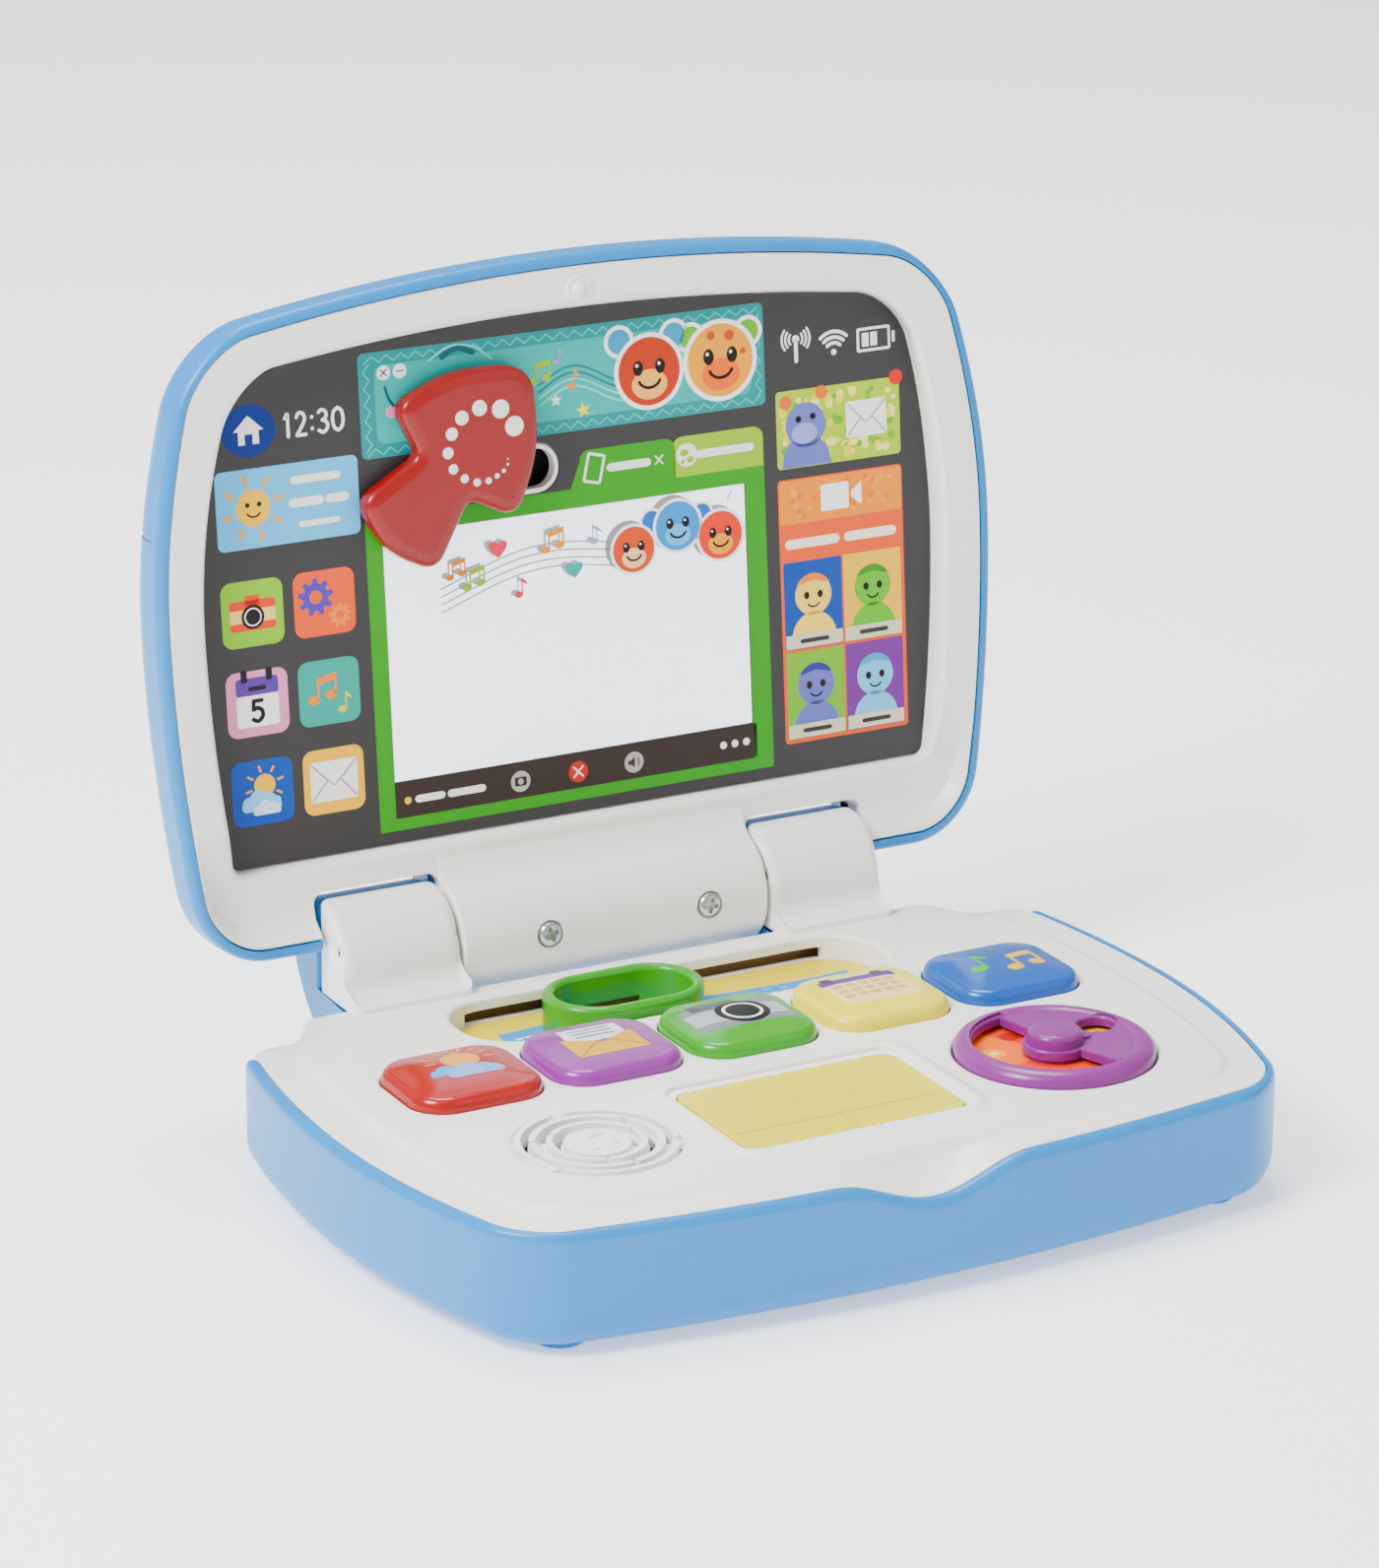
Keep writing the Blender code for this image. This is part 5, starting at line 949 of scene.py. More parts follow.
def envelope(art, cx, cy, w, h, lvl):
    """A closed envelope: paper, the flap's edge and the two folds below it."""
    art.add("F7F6F4", lvl, rounded((cx - w / 2, cx + w / 2), (cy - h / 2, cy + h / 2), 0.06 * w))
    flap = [(-0.46, 0.44), (-0.2, 0.1), (0.0, -0.12), (0.2, 0.1), (0.46, 0.44)]
    folds = [[(side * x, y) for x, y in ((0.46, -0.44), (0.3, -0.2), (0.15, 0.0))] for side in (-1, 1)]
    art.add("A9A6A4", lvl + 1, *[ribbon(np.array(line) * (w, h) + (cx, cy), 0.03 * w) for line in (flap, *folds)])


def camera(art, cx, cy, w, lvl):
    """A camera: body with its button, band and a lens of three discs."""
    h = 0.62 * w
    wide = (cx - w / 2, cx + w / 2)
    art.add("E8603C", lvl, rounded(wide, (cy - h / 2, cy + h / 2), 0.08 * w),
            rounded((cx - 0.16 * w, cx + 0.16 * w), (cy + 0.3 * h, cy + 0.66 * h), 0.03 * w))
    art.add("F3D9A0", lvl + 1, rounded(wide, (cy - 0.24 * h, cy + 0.2 * h), 0.02 * w))
    for up, (colour, share) in enumerate(((CHARCOAL, 0.25), ("F4F4F2", 0.19), (CHARCOAL, 0.16)), 2):
        art.add(colour, lvl + up, circle(cx, cy - 0.06 * h, share * w, 32))


DIGITS = {
    "0": [[(0.5, 1.0), (0.15, 0.85), (0.02, 0.5), (0.15, 0.15), (0.5, 0.0)],
          [(0.5, 0.0), (0.85, 0.15), (0.98, 0.5), (0.85, 0.85), (0.5, 1.0)]],
    "1": [[(0.25, 0.8), (0.5, 1.0), (0.52, 0.6), (0.52, 0.3), (0.52, 0)]],
    "2": [[(0.1, 0.8), (0.3, 0.98), (0.65, 0.96), (0.85, 0.75), (0.7, 0.5), (0.4, 0.25), (0.1, 0.02)],
          [(0.1, 0.0), (0.5, 0.0), (0.9, 0.0)]],
    "3": [[(0.12, 0.9), (0.4, 1.0), (0.75, 0.9), (0.8, 0.68), (0.45, 0.54)],
          [(0.45, 0.54), (0.85, 0.42), (0.88, 0.16), (0.5, 0.0), (0.1, 0.1)]],
    "5": [[(0.85, 1.0), (0.5, 1.0), (0.2, 1.0)], [(0.2, 1.0), (0.17, 0.75), (0.16, 0.58)],
          [(0.16, 0.58), (0.5, 0.65), (0.84, 0.5), (0.86, 0.2), (0.5, 0.0), (0.12, 0.1)]],
}


def curve(points, count=24):
    """A smooth line through a few points (Catmull-Rom)."""
    p = np.asarray(points, float)
    p = np.concatenate((p[:1] * 2 - p[1:2], p, p[-1:] * 2 - p[-2:-1]))
    out = []
    steps = max(count // (len(p) - 3), 3)
    for a, b, c, d in zip(p, p[1:], p[2:], p[3:]):
        t = np.linspace(0, 1, steps, endpoint=False)[:, None]
        out.append(0.5 * (2 * b + (c - a) * t + (2 * a - 5 * b + 4 * c - d) * t * t + (3 * b - a - 3 * c + d) * t ** 3))
    return np.concatenate(out + [p[-2:-1]])


def digit(art, char, x, y, w, h, colour, lvl, width):
    """One numeral in a box of w by h whose lower left corner is (x, y)."""
    for k, line in enumerate(DIGITS[char]):
        art.add(colour, lvl + k, ribbon(curve(np.array(line) * (w, h) + (x, y)), width))


def tile(art, cx, cy, colour):
    """A square app tile with round corners."""
    half = 15.7 / 2
    art.add(colour, 1, rounded((cx - half, cx + half), (cy - half, cy + half), 2.6))


def tab(foot_left, left, right, corner, foot_right):
    """A browser tab with round upper corners: x of its feet and of the middles of its corners."""
    return np.concatenate(([(foot_left, 103.2)], arc(left, 110.4, 2.6, 2.6, 180, 90, 8), [(right, 113.0)],
                           arc(right, 110.4, corner, 2.6, 90, 0, 8), [(foot_right, 103.2)]))[::-1]


def print_left_column(art):
    """Home mark, clock, weather card and six app tiles."""
    art.add("17468C", 1, circle(-83.2, 128.6, 6.9, 40, 6.2))
    art.add(PAPER, 2, [(-87.0, 128.6), (-83.2, 132.2), (-79.4, 128.6), (-80.6, 128.6), (-80.6, 125.4), (-85.8, 125.4),
                       (-85.8, 128.6)])
    art.add("17468C", 3, rounded((-84.2, -82.2), (125.4, 127.8), 0.2))
    for char, x in (("1", -74.6), ("2", -71.2), ("3", -65.6), ("0", -61.8)):
        digit(art, char, x, 126.0, 2.8, 5.3, PAPER, 1, 0.8)
    art.add(PAPER, 1, circle(-67.0, 127.2, 0.45, 12), circle(-67.0, 129.9, 0.45, 12))
    art.add("86CBF0", 1, rounded((-92.4, -56.0), (100.9, 119.7), 1.6))
    sun(art, -83.0, 110.4, 4.4, 2)
    art.add(EYES, 3, circle(-84.5, 111.2, 0.6, 12), circle(-81.5, 111.2, 0.6, 12), smile(-83.0, 109.6, 1.7, 1.3, 0.45))
    words = ((-72.4, 115.6, -61.4, 1.9), (-73.0, 110.2, -66.0, 2.1), (-63.6, 110.2, -59.6, 2.1),
             (-71.0, 105.0, -61.8, 1.4))
    art.add(PAPER, 2, *[bar(*word) for word in words])
    left, right, rows = -84.7, -66.3, (85.6, 64.1, 42.6)
    tile(art, left, rows[0], "A4CC12")
    camera(art, left, rows[0] - 0.4, 11.6, 2)
    tile(art, right, rows[0], "EE7850")
    for cx, cy, r, colour in ((right - 2.2, rows[0] + 1.6, 3.9, "7A55B5"), (right + 3.8, rows[0] - 3.4, 2.5, "F3A33B")):
        a = np.linspace(0, 2 * math.pi, 96, endpoint=False)
        rr = r * (1 + 0.16 * np.sign(np.sin(9 * a)) * np.minimum(1, 3 * abs(np.sin(9 * a))))
        art.add(colour, 2, np.stack((cx + rr * np.cos(a), cy + rr * np.sin(a)), -1))
        art.add("EE7850", 3, circle(cx, cy, 0.42 * r, 24))
    tile(art, left, rows[1], "E6A6CB")
    art.add("FBFAF8", 2, rounded((left - 5.4, left + 5.4), (rows[1] - 5.6, rows[1] + 2.0), 0.8))
    art.add("7E4FA6", 2, rounded((left - 5.4, left + 5.4), (rows[1] + 2.0, rows[1] + 6.2), 0.8))
    loops = [rounded(x, (rows[1] + 5.2, rows[1] + 8.2), 0.5)
             for x in ((left - 4.0, left - 2.4), (left + 2.4, left + 4.0))]
    art.add(CHARCOAL, 3, bar(left - 1.8, rows[1] + 3.6, left + 1.8, 1.0), *loops)
    digit(art, "5", left - 1.7, rows[1] - 4.3, 3.2, 4.9, CHARCOAL, 3, 1.0)
    tile(art, right, rows[1], "04ADA4")
    art.add("F3A33B", 2, *beamed(right - 4.0, rows[1] - 1.6, 1.55))
    art.add("D8D83A", 2, *quaver(right + 3.2, rows[1] - 4.6, 1.15))
    tile(art, left, rows[2], "0066B3")
    sun(art, left + 0.6, rows[2] + 1.6, 2.7, 2)
    art.add("A9D8F3", 3, cloud(left - 0.4, rows[2] - 2.6, 2.3))
    art.add("D9EEFA", 4, cloud(left + 0.9, rows[2] - 4.2, 1.6))
    tile(art, right, rows[2], "F6CC3A")
    envelope(art, right, rows[2], 12.2, 9.8, 2)


def print_banner(art):
    """The banner along the top: border, swirls, notes and two badges."""
    art.add("189A9A", 1, rounded((-54.7, 53.1), (118.0, 143.1), 1.4))
    art.add("2FB9B4", 2, rounded((-50.6, 49.4), (121.2, 139.9), 2.2))
    zig = np.arange(-53.0, 52.0, 1.9)
    for y, lift in ((141.4, 0.75), (119.5, 0.75)):
        art.add("5ED0CB", 2, ribbon(np.stack((zig, y + lift * (np.arange(len(zig)) % 2 * 2 - 1)), -1), 0.35))
    zig = np.arange(119.5, 142.0, 1.9)
    for x in (-52.7, 51.3):
        art.add("5ED0CB", 2, ribbon(np.stack((x + 0.75 * (np.arange(len(zig)) % 2 * 2 - 1), zig), -1), 0.35))
    for x in (-48.2, -44.0):
        art.add("FBFBFA", 3, circle(x, 138.0, 1.75, 24))
    art.add("5C5A5B", 4, ribbon([(-49.0, 138.8), (-48.2, 138.0), (-47.4, 137.2)], 0.3),
            ribbon([(-45.0, 138.0), (-44.0, 138.0), (-43.0, 138.0)], 0.3))
    art.add("5C5A5B", 5, ribbon([(-49.0, 137.2), (-48.2, 138.0), (-47.4, 138.8)], 0.3))
    art.add("176F78", 3, ribbon(curve([(-48.0, 134.6), (-47.3, 132.0), (-46.0, 130.0)]), 0.7),
            ribbon(curve([(-33.0, 140.0), (-29.0, 141.6), (-25.0, 140.2)]), 1.4))
    art.add("E8A0CC", 3, circle(-46.6, 128.6, 1.5, 20))
    art.add("8FDCDB", 3, ribbon(curve([(-36.5, 139.4), (-31.0, 142.2), (-25.0, 141.6), (-20.0, 138.0)]), 0.5))
    s = np.linspace(-8, 17, 30)
    for colour, lvl, heights, width in (("16858A", 3, (131.2, 129.6), 0.5), ("8FDCDB", 4, (128.0, 126.3), 0.45)):
        art.add(colour, lvl, *[ribbon(np.stack((s, y + 2.6 * np.sin((s + 6) * 0.22)), -1), width) for y in heights])
    art.add("A9C92B", 5, *beamed(-9.6, 131.0, 1.3))
    art.add("C3A0DC", 5, *quaver(-3.0, 135.2, 0.85))
    art.add("F0A335", 5, *quaver(0.6, 129.0, 1.05))
    art.add("E9F6F8", 5, star(-3.6, 126.0, 1.6))
    art.add("F3E83A", 5, star(3.6, 122.8, 1.9, 100))
    face(art, 21.6, 130.0, 8.3, 5, "C65324", "F6C588")
    ears(art, (13.8, 28.6), 138.0, 4.0, 3.0, "4FA9CF", 4.2, 4.6, 30)
    face(art, 41.0, 130.4, 8.9, 5, "F2B62B", "F08A2C")
    ears(art, (33.2, 48.8), 136.6, 3.9, 2.9, "8FBF3A", 4.2, 4.6, 30)
    art.add("C8701E", 7, circle(38.6, 136.6, 1.1, 16), circle(43.6, 136.2, 1.3, 16), circle(47.2, 132.0, 0.8, 12))


def print_tabs(art):
    """Browser tabs and the green frame round the mirror, with the dark bar under it."""
    full, across = (27.6, 104.0), (MIRROR_X[0] - 0.32, MIRROR_X[1] + 0.32)
    art.add(MIRROR_GREEN, 1, rounded((-54.9, MIRROR_X[0] - 0.3), full, 0.4),
            rounded((MIRROR_X[1] + 0.3, 52.1), full, 0.4),
            rounded(across, (MIRROR_V[1] + 0.3, full[1]), 0.1), rounded(across, (full[0], 30.5), 0.1))
    art.add(MIRROR_GREEN, 2, tab(-1.0, 4.6, 25.2, 2.6, 27.8))
    art.add(LIME, 2, tab(27.2, 29.8, 49.2, 2.8, 52.0))
    phone = rounded((3.0, 8.0), (104.6, 112.0), 0.8) @ np.array([[0.97, -0.24], [0.24, 0.97]]) + (-25.5, 4.6)
    art.add(PAPER, 3, phone, bar(10.2, 108.0, 20.2, 2.0), bar(34.6, 108.2, 48.6, 2.0), circle(31.0, 108.4, 2.9, 30))
    art.add(MIRROR_GREEN, 4, offset(phone, -0.7))
    cross(art, 23.4, 108.2, 1.0, PAPER, 3, 0.35)
    art.add(LIME, 4, circle(30.3, 109.0, 1.2, 16, 0.9), circle(31.9, 107.2, 1.0, 16, 0.8), circle(29.9, 106.9, 0.6, 12))
    art.add("453B3A", 1, rounded((MIRROR_X[0] - 0.3, MIRROR_X[1] + 1.2), (30.5, MIRROR_V[0] - 0.3), 0.5))
    art.add("F1D43A", 2, circle(-47.4, 34.6, 0.9, 16))
    art.add(PAPER, 2, bar(-44.6, 34.6, -38.4, 1.8), bar(-36.0, 34.6, -27.6, 1.8),
            *[circle(x, 35.0, 0.95, 16) for x in (38.2, 41.4, 44.6)])
    art.add("B9B6B5", 2, circle(-17.4, 34.6, 2.6, 30), circle(13.4, 34.6, 2.6, 30))
    art.add("453B3A", 3, rounded((-19.0, -15.8), (33.5, 35.7), 0.4),
            np.array([(11.8, 34.1), (12.6, 34.1), (13.6, 33.2), (13.6, 36.0), (12.6, 35.1), (11.8, 35.1)]),
            ribbon(arc(13.6, 34.6, 1.2, 1.2, -45, 45, 7), 0.3))
    art.add("B9B6B5", 4, circle(-17.4, 34.6, 0.75, 16))
    art.add("D0402C", 2, circle(-1.8, 34.6, 2.6, 30))
    cross(art, -1.8, 34.6, 1.2, PAPER, 3, 0.45)


def print_right_column(art):
    """Status marks, message card and group card."""
    art.add(PAPER, 1, ribbon([(62.0, 132.6), (62.0, 130.4), (62.0, 127.6)], 1.0), circle(62.0, 133.0, 1.0, 16))
    for r in (1.9, 2.9, 3.9):
        art.add(PAPER, 1, ribbon(arc(62.0, 133.0, r, r, -38, 38, 9), 0.55),
                ribbon(arc(62.0, 133.0, r, r, 142, 218, 9), 0.55))
        art.add(PAPER, 1, ribbon(arc(72.5, 128.2, r * 1.4, r * 1.4, 48, 132, 11), 0.85))
    art.add(PAPER, 1, circle(72.5, 128.6, 0.75, 16))
    art.add(PAPER, 1, rounded((79.0, 88.4), (127.6, 133.6), 0.6), rounded((88.9, 89.7), (129.2, 132.0), 0.2))
    art.add("4F4D4E", 2, rounded((79.7, 87.7), (128.3, 132.9), 0.3))
    art.add(PAPER, 3, *[rounded((x, x + 1.9), (128.9, 132.3), 0.2) for x in (80.4, 82.8)])
    art.add("BFD42A", 1, rounded((55.9, 90.5), (101.3, 120.5), 1.0))
    rng = np.random.default_rng(7)
    spots = rng.uniform((57.5, 102.8), (89.0, 119.0), (110, 2))
    for k, (x, y) in enumerate(spots):
        art.add(("F0E21C", "8FBE2C", "F4F2A4")[k % 3], 2 + 0.012 * (k // 3),
                circle(x, y, 0.6 + 0.7 * ((k * 7) % 5) / 5, 12))
    shoulders = np.concatenate(([(57.0, 101.5), (71.0, 101.5)], arc(64.0, 103.5, 6.4, 5.5, 0, 180, 12)))
    art.add("8E88C6", 3, circle(64.0, 111.6, 5.6, 32), shoulders)
    art.add("EB8A3C", 4, circle(58.6, 117.6, 1.7, 16), circle(68.6, 119.2, 1.7, 16))
    art.add("B4B0E0", 4, circle(63.6, 109.6, 3.6, 26, 2.6))
    art.add(EYES, 5, circle(62.0, 113.2, 0.8, 12), circle(66.0, 113.6, 0.8, 12))
    envelope(art, 81.0, 111.4, 11.4, 9.0, 4)
    art.add("E0301E", 3, circle(89.6, 120.4, 1.9, 24))
    art.add("EC7A52", 1, rounded((55.7, 90.6), (32.4, 98.6), 1.0))
    art.add("F5A81C", 2, rounded((56.0, 90.3), (87.4, 98.3), 0.9))
    for k, (x, y) in enumerate(rng.uniform((57.5, 88.8), (89.0, 97.0), (40, 2))):
        art.add("F0863A" if k % 2 else "F8C85A", 3 + 0.02 * k, star(x, y, 1.35, 20 * k, 6, 0.2))
    art.add("FDFDFB", 4, rounded((67.6, 75.4), (89.6, 96.2), 0.5),
            np.array([(76.2, 92.2), (79.0, 90.0), (79.0, 95.8), (76.2, 93.6)]))
    art.add("FDF4E8", 2, bar(58.4, 82.4, 71.4, 2.4), bar(75.0, 82.4, 87.4, 2.4))
    cells = (("0A64B0", "F8E08A", "F4A02E", 56.5, 56.0), ("F8CF2C", "86C440", "5E9E2E", 73.3, 56.0),
             ("98C23A", "8E86C8", "5E4AA0", 56.5, 33.4), ("8E45A0", "9BD3F0", "5FB3DE", 73.3, 33.4))
    w, h = 16.3, 21.9
    for back, head, cap, x, y in cells:
        mid = x + w / 2
        shoulders = np.concatenate(([(x + 2.0, y + 0.3), (x + w - 2.0, y + 0.3)],
                                    arc(mid, y + 2.6, 6.2, 6.4, 0, 180, 14)))
        fringe = [(mid - 3.0, y + 16.2), (mid, y + 16.9), (mid + 3.0, y + 16.2)]
        art.add(back, 2, rounded((x, x + w), (y, y + h), 0.4))
        art.add(head, 3, circle(mid, y + 13.2, 5.1, 32), shoulders)
        art.add(cap, 4, np.concatenate((arc(mid, y + 13.4, 5.2, 5.2, 30, 150, 14), fringe)))
        art.add(EYES, 5, *[circle(mid + dx, y + 13.2, 0.75, 14, 0.95) for dx in (-1.9, 1.9)],
                smile(mid, y + 11.4, 1.6, 1.2, 0.4))
        art.add("DDD9C8", 5, rounded((x + 0.2, x + w - 0.2), (y + 0.2, y + 3.6), 0.2))
        art.add("4A4544", 6, bar(x + 4.6, y + 1.9, x + w - 4.6, 1.1))


def print_screen():
    """The picture on the screen's sheet."""
    art = Print("screen", "lid", "grey_print", to_lid, SCREEN_N)
    print_left_column(art)
    print_banner(art)
    print_tabs(art)
    print_right_column(art)
    art.make()


def print_mirror():
    """Film on the front of the mirror: staff lines, notes, hearts and three badges, each with its soft reflection."""
    art = Print("mirror", "lid", "mirror", to_lid, SCREEN_N)
    s = np.linspace(-36, 20, 60)
    for k in range(4):
        wave = 88.6 - 1.9 * k + 3.0 * np.sin((s + 30) * 0.085) + 0.1 * (s + 10)
        art.add("A6A9AE", 1, ribbon(np.stack((s, wave), -1), 0.35))
    art.add("A6A9AE", 1, ribbon([(41.6, 96.0), (42.2, 97.0), (42.8, 98.2)], 0.3))
    notes = ((beamed, -29.2, 84.0, 1.25, "A9CC2E"), (beamed, -8.0, 90.2, 1.3, "EDB03A"),
             (quaver, -15.6, 80.4, 1.1, "E0507F"),
             (quaver, 5.0, 90.6, 1.0, "B9AEE0"), (beamed, -33.6, 87.0, 1.1, "EDA23A"))
    for kind, x, y, size, colour in notes:
        art.add("B4B5B8", 2, *kind(x - 1.1, y + 0.6, size))
        art.add(colour, 3, *kind(x, y, size))
    for x, y, r, colour in ((-20.6, 92.4, 2.6, "EA4C86"), (-0.6, 84.6, 2.4, "1FB3B2")):
        art.add("B4B5B8", 2, heart(x - 1.2, y + 0.6, r))
        art.add(colour, 3, heart(x, y, r))
    badges = ((15.6, 87.2, 5.6, "DE6A30", "F8D9B8"), (27.8, 91.4, 6.0, "4FA6E0", "8CC8EE"),
              (39.4, 87.6, 5.9, "E85C3C", "F3B33C"))
    for x, y, r, colour, cheek in badges:
        art.add("A2A3A6", 1, circle(x - 0.16 * r - 0.5, y + 0.1 * r + 0.4, 1.12 * r, 40))
        face(art, x, y, r, 3, colour, cheek)
    ears(art, (20.8, 34.4), 93.4, 3.3, 2.6, "3E86CC", 2.3, 2.6, 24)
    art.make()


def print_arrow():
    """A ring of dots that grow clockwise, on the face of the arrow."""
    art = Print("arrow", "arrow", "red_plastic", to_lid, ARROW_LOW + ARROW_THICK, 0.05)
    dots = ((-19.6, 114.8, 0.2), (-19.7, 113.5, 0.34), (-20.8, 112.1, 0.51), (-22.6, 111.1, 0.64), (-24.9, 110.2, 0.81),
            (-27.9, 110.2, 0.97), (-31.1, 111.5, 1.06), (-33.9, 114.1, 1.22), (-35.1, 118.1, 1.39),
            (-33.9, 122.5, 1.56),
            (-31.1, 126.0, 1.73), (-26.4, 127.8, 1.9), (-20.9, 126.9, 2.24), (-17.5, 122.4, 2.42))
    art.add("F4EDEE", 1, *[circle(x, v, r, 28) for x, v, r in dots])
    art.make()


def print_tray():
    """The wavy band on the slider tray's sheet, with dots and dashes."""
    art = Print("tray", "base", "tray_print", to_base, TRAY_Z)
    wave = lambda x: -41.6 + 1.6 * np.sin((x + 44) * 0.06)
    s = np.linspace(-44, 50, 60)
    mid = wave(s)
    band = np.concatenate((np.stack((s, mid + 5.0), -1), np.stack((s[::-1], mid[::-1] - 5.0), -1)))[::-1]
    art.add("58A9DE", 1, band)
    rng = np.random.default_rng(3)
    for k in range(60):
        x = rng.uniform(-42, 48)
        y = wave(x) + rng.uniform(-4.2, 4.2)
        art.add(("3C8FC9", "8CC9EC")[k % 2], 2, circle(x, y, rng.uniform(0.5, 1.1), 10))
    for x in np.arange(-41, 49, 2.6):
        y = wave(x)
        art.add("FDFDFB", 3, ribbon([(x, y), (x + 0.7, y + 0.05), (x + 1.4, y + 0.1)], 0.8))
    art.make()


def print_dial():
    """The card seen through the dial: a ring of warm shapes and a small badge under the oval."""
    x, y = DIAL_AT
    piece("dial_picture_card", prism(circle(x, y, 20.6, 72), DECK_Z - 3.9, DECK_Z - 0.8, to_base),
          ink("dial card", "E56A3C"), "base", ("dial_picture",),
          steps=[("DIFFERENCE", prism(circle(x, y, HUB_R + 0.4, 48), DECK_Z - 9, DECK_Z + 9, to_base))])
    art = Print("dial", "base", "dial_print", to_base, DECK_Z - 0.8)
    ring = np.concatenate((arc(x, y, 20.5, 20.5, 4, 356, 60), arc(x, y, HUB_R + 0.5, HUB_R + 0.5, 356, 4, 40)))
    art.add("E9502C", 1, ring)
    art.add("F08A3A", 2, np.concatenate((arc(x, y, 19.6, 19.6, 115, 190, 20),
                                         arc(x, y, HUB_R + 0.8, HUB_R + 0.8, 190, 115, 10))))
    art.add("F4B23C", 3, circle(x - 12.6, y + 6.0, 2.8, 24), circle(x - 8.4, y - 12.0, 4.0, 24))
    art.add("B8331E", 3, circle(x - 14.0, y - 4.0, 2.2, 24), circle(x - 4.0, y + 13.6, 2.4, 24),
            circle(x + 2.0, y - 14.0, 2.6, 24))
    art.add("F8E3B0", 4, circle(x - 8.4, y - 12.0, 2.0, 24), star(x - 12.6, y + 6.0, 1.6))
    art.add("EFC02C", 2, circle(x + 13.8, y + 4.4, 5.9, 32))
    art.add(EYES, 3, circle(x + 12.2, y + 4.4, 1.3, 16), circle(x + 15.4, y + 5.8, 1.3, 16),
            smile(x + 13.8, y + 3.6, 2.2, 1.6, 0.6))
    art.make()


def print_keys():
    """Icons that follow each key's dome: each ink layer is the part of a slightly raised key inside its outline."""

    def layer(index, name, colour, lvl, *lines):
        """One ink of the key with that index, clipped to its outlines."""
        key, body, _, slot = KEYS[index]
        cx = (index - 2) * KEY_PITCH
        shapes = merge([prism(np.asarray(line, float) + (cx, KEY_Y), DECK_Z + 1.2, DECK_Z + 9.0,
                              to_base) for line in lines])
        piece(f"{key}_ink_{lvl}_{name}", key_body(cx, 0.035 * lvl), ink(colour, colour, 0.3), body,
              smooth=50, steps=[("INTERSECT", shapes)])

    layer(0, "rays", "F0A23A", 1, *[ray(1.6, 4.2, a, (6.2, 7.2, 8.4),
                                        0.7) for a in np.radians(np.arange(0, 181, 22.5))])
    layer(0, "sun", "E6B24A", 1, circle(1.6, 4.2, 4.6, 40))
    layer(0, "cloud_back", "7FB4E6", 2, cloud(-3.4, -1.6, 2.3))
    layer(0, "cloud", "AAB4E4", 3, cloud(2.0, -3.0, 3.2))
    layer(1, "paper", "E9E6F2", 1, [(-8.0, 0.0), (-7.0, 9.6), (7.6, 9.0), (7.4, 0.0)])
    layer(1, "lines", "6E6A86", 2, *[ribbon([(-4.8, y), (0.0, y), (4.8, y)], 0.7) for y in (7.4, 5.2, 3.0)])
    layer(1, "envelope", "DDB836", 3, [(-9.0, -7.6), (9.0, -7.6), (9.0, 3.6), (0.0, -1.6), (-9.0, 3.6)])
    layer(1, "fold", "C8912E", 4, ribbon([(-8.4, -7.0), (-3.4, -2.6), (0.0, -0.4)], 0.5),
          ribbon([(8.4, -7.0), (4.6, -3.4), (2.0, -1.4)], 0.5))
    layer(2, "body", "8E9296", 1, rounded((-12.4, 12.4), (-6.4, 7.2), 1.2))
    layer(2, "band", "B8BCC0", 2, rounded((-12.4, 12.4), (-3.2, 4.0), 0.4))
    layer(2, "top", "5F6468", 2, rounded((-9.4, 3.4), (5.0, 9.2), 0.8))
    layer(2, "lens", "1A1A1C", 3, circle(1.6, 0.6, 6.6, 40))
    layer(2, "lens_ring", "F4F4F2", 4, circle(1.6, 0.6, 4.9, 40))
    layer(2, "lens_glass", "161618", 5, circle(1.6, 0.6, 4.1, 40))
    layer(3, "page", "F4E2B8", 1, rounded((-10.0, 10.0), (-7.4, 8.4), 0.8))
    layer(3, "header", "7E4FA6", 2, rounded((-10.0, 10.0), (5.4, 8.6), 0.5))
    layer(3, "cells", "D3BE98", 2, *[rounded((x, x + 2.5), (y, y + 1.9), 0.2)
                                     for x in (-8.4, -4.9, -1.4, 2.1, 5.6) for y in (2.4, -0.7, -3.8)])
    layer(3, "loops", "3A3436", 3, rounded((-8.6, -5.8), (7.4, 10.2), 0.5), rounded((5.0, 7.8), (7.4, 10.2), 0.5))
    layer(4, "note", "6FC24A", 1, *quaver(-6.6, -1.6, 2.3))
    layer(4, "notes", "E3C93A", 1, *beamed(1.6, -4.4, 2.3))


# ---------------------------------------------------------------- materials of the nodes that keep their shape
def dress(name, mat):
    """Gives a CAD node that keeps its own shape its material."""
    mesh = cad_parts[name].data
    mesh.materials.clear()
    mesh.materials.append(mat)


for name, mat in (("mirror", safety_mirror()), ("touchpad", PAD_YELLOW), ("slider_tray_print", TRAY_YELLOW),
                  ("dial_retainer", BLACK), ("slider_carriage", DARK), ("arrow_washer", BLACK),
                  ("speaker", BLACK), ("key_membrane", SILICONE), ("circuit_board", BOARD), ("battery_1", SLEEVE),
                  ("battery_2", SLEEVE),
                  ("battery_door", BLUE), ("power_switch", BLACK)):
    dress(name, mat)
for name in ("contact_left", "contact_right", "door_screw", *[f"case_screw_{k}" for k in (1, 2, 3, 4)],
             "hinge_pin_left", "hinge_pin_right"):
    dress(name, ZINC)

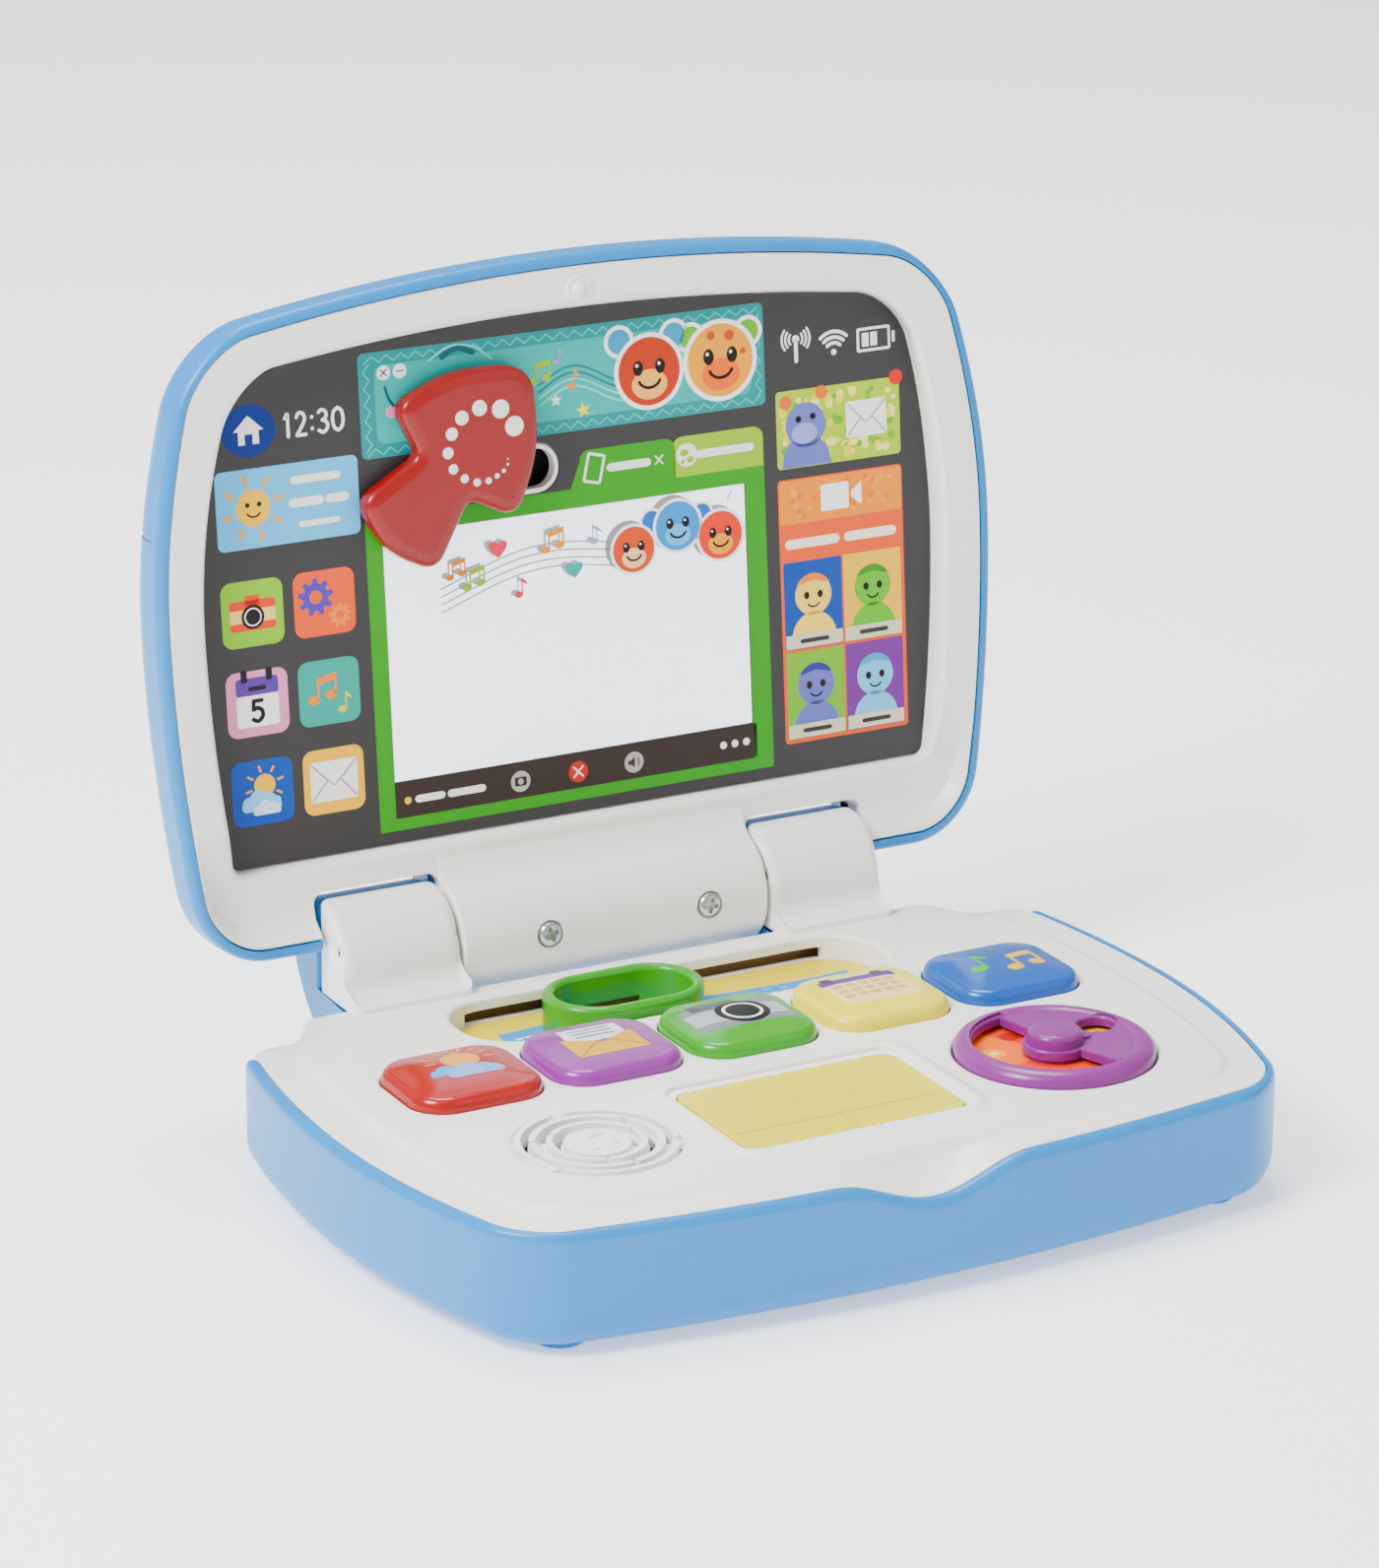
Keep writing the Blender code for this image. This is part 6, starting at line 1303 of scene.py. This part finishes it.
for make in (make_casing, make_deck, make_bezel, make_screen_sheet, make_slot_painted_shade, make_lid_shell, make_keys,
             make_dial,
             make_ring, make_arrow, make_screws, print_screen, print_mirror, print_arrow, print_tray, print_dial,
             print_keys):
    make()

# ---------------------------------------------------------------- stage, lights, camera
floor = bpy.data.objects.new("floor", raw_mesh("floor", [(-6, -6, 0), (6, -6, 0), (6, 6, 0), (-6, 6, 0)],
                                               [[0, 1, 2, 3]]))
bpy.context.scene.collection.objects.link(floor)
sweep = surface("paper sweep white matte", "FFFFFF", 0.9, spread=0.0, shine=0.1)
glow = sweep.node_tree.nodes["Principled BSDF"].inputs
glow["Emission Color"].default_value = (1.0, 1.0, 1.0, 1.0)
glow["Emission Strength"].default_value = 0.7
floor.data.materials.append(sweep)

world = bpy.data.worlds.new("studio")
bpy.context.scene.world = world
world.use_nodes = True
world.node_tree.nodes["Background"].inputs["Color"].default_value = (1.0, 1.0, 1.0, 1.0)
world.node_tree.nodes["Background"].inputs["Strength"].default_value = 0.62


def area(name, at, aim, size, power):
    """A square soft light aimed at a point."""
    light = bpy.data.lights.new(name, "AREA")
    light.energy, light.size = power, size
    obj = bpy.data.objects.new(name, light)
    obj.location = at
    obj.rotation_euler = (Vector(aim) - Vector(at)).to_track_quat("-Z", "Y").to_euler()
    bpy.context.scene.collection.objects.link(obj)


area("key_light", (-1.0, -0.2, 1.1), (0.0, 0.0, 0.08), 0.55, 36.0)
area("fill_light", (0.9, -1.1, 0.8), (0.0, 0.0, 0.08), 1.2, 4.0)
area("top_light", (0.1, 0.5, 1.6), (0.0, 0.0, 0.05), 0.7, 26.0)

camera_data = bpy.data.cameras.new("camera")
camera_data.lens = LENS
camera_data.sensor_width = SENSOR
camera_data.clip_start = 0.01
camera_obj = bpy.data.objects.new("camera", camera_data)
az, el, roll = math.radians(AZIMUTH), math.radians(ELEVATION), math.radians(ROLL)
right = Vector((math.cos(az), math.sin(az), 0.0))
back = Vector((math.sin(az) * math.cos(el), -math.cos(az) * math.cos(el), math.sin(el)))
up = back.cross(right)
camera_right = right * math.cos(roll) + up * math.sin(roll)
camera_up = up * math.cos(roll) - right * math.sin(roll)
place = Vector((CAMERA_AT[0], CAMERA_AT[1] + AXIS_Y, CAMERA_AT[2] + AXIS_Z)) * MM
matrix = Matrix((camera_right, camera_up, back)).transposed().to_4x4()
matrix.translation = place
camera_obj.matrix_world = matrix
bpy.context.scene.collection.objects.link(camera_obj)
bpy.context.scene.camera = camera_obj
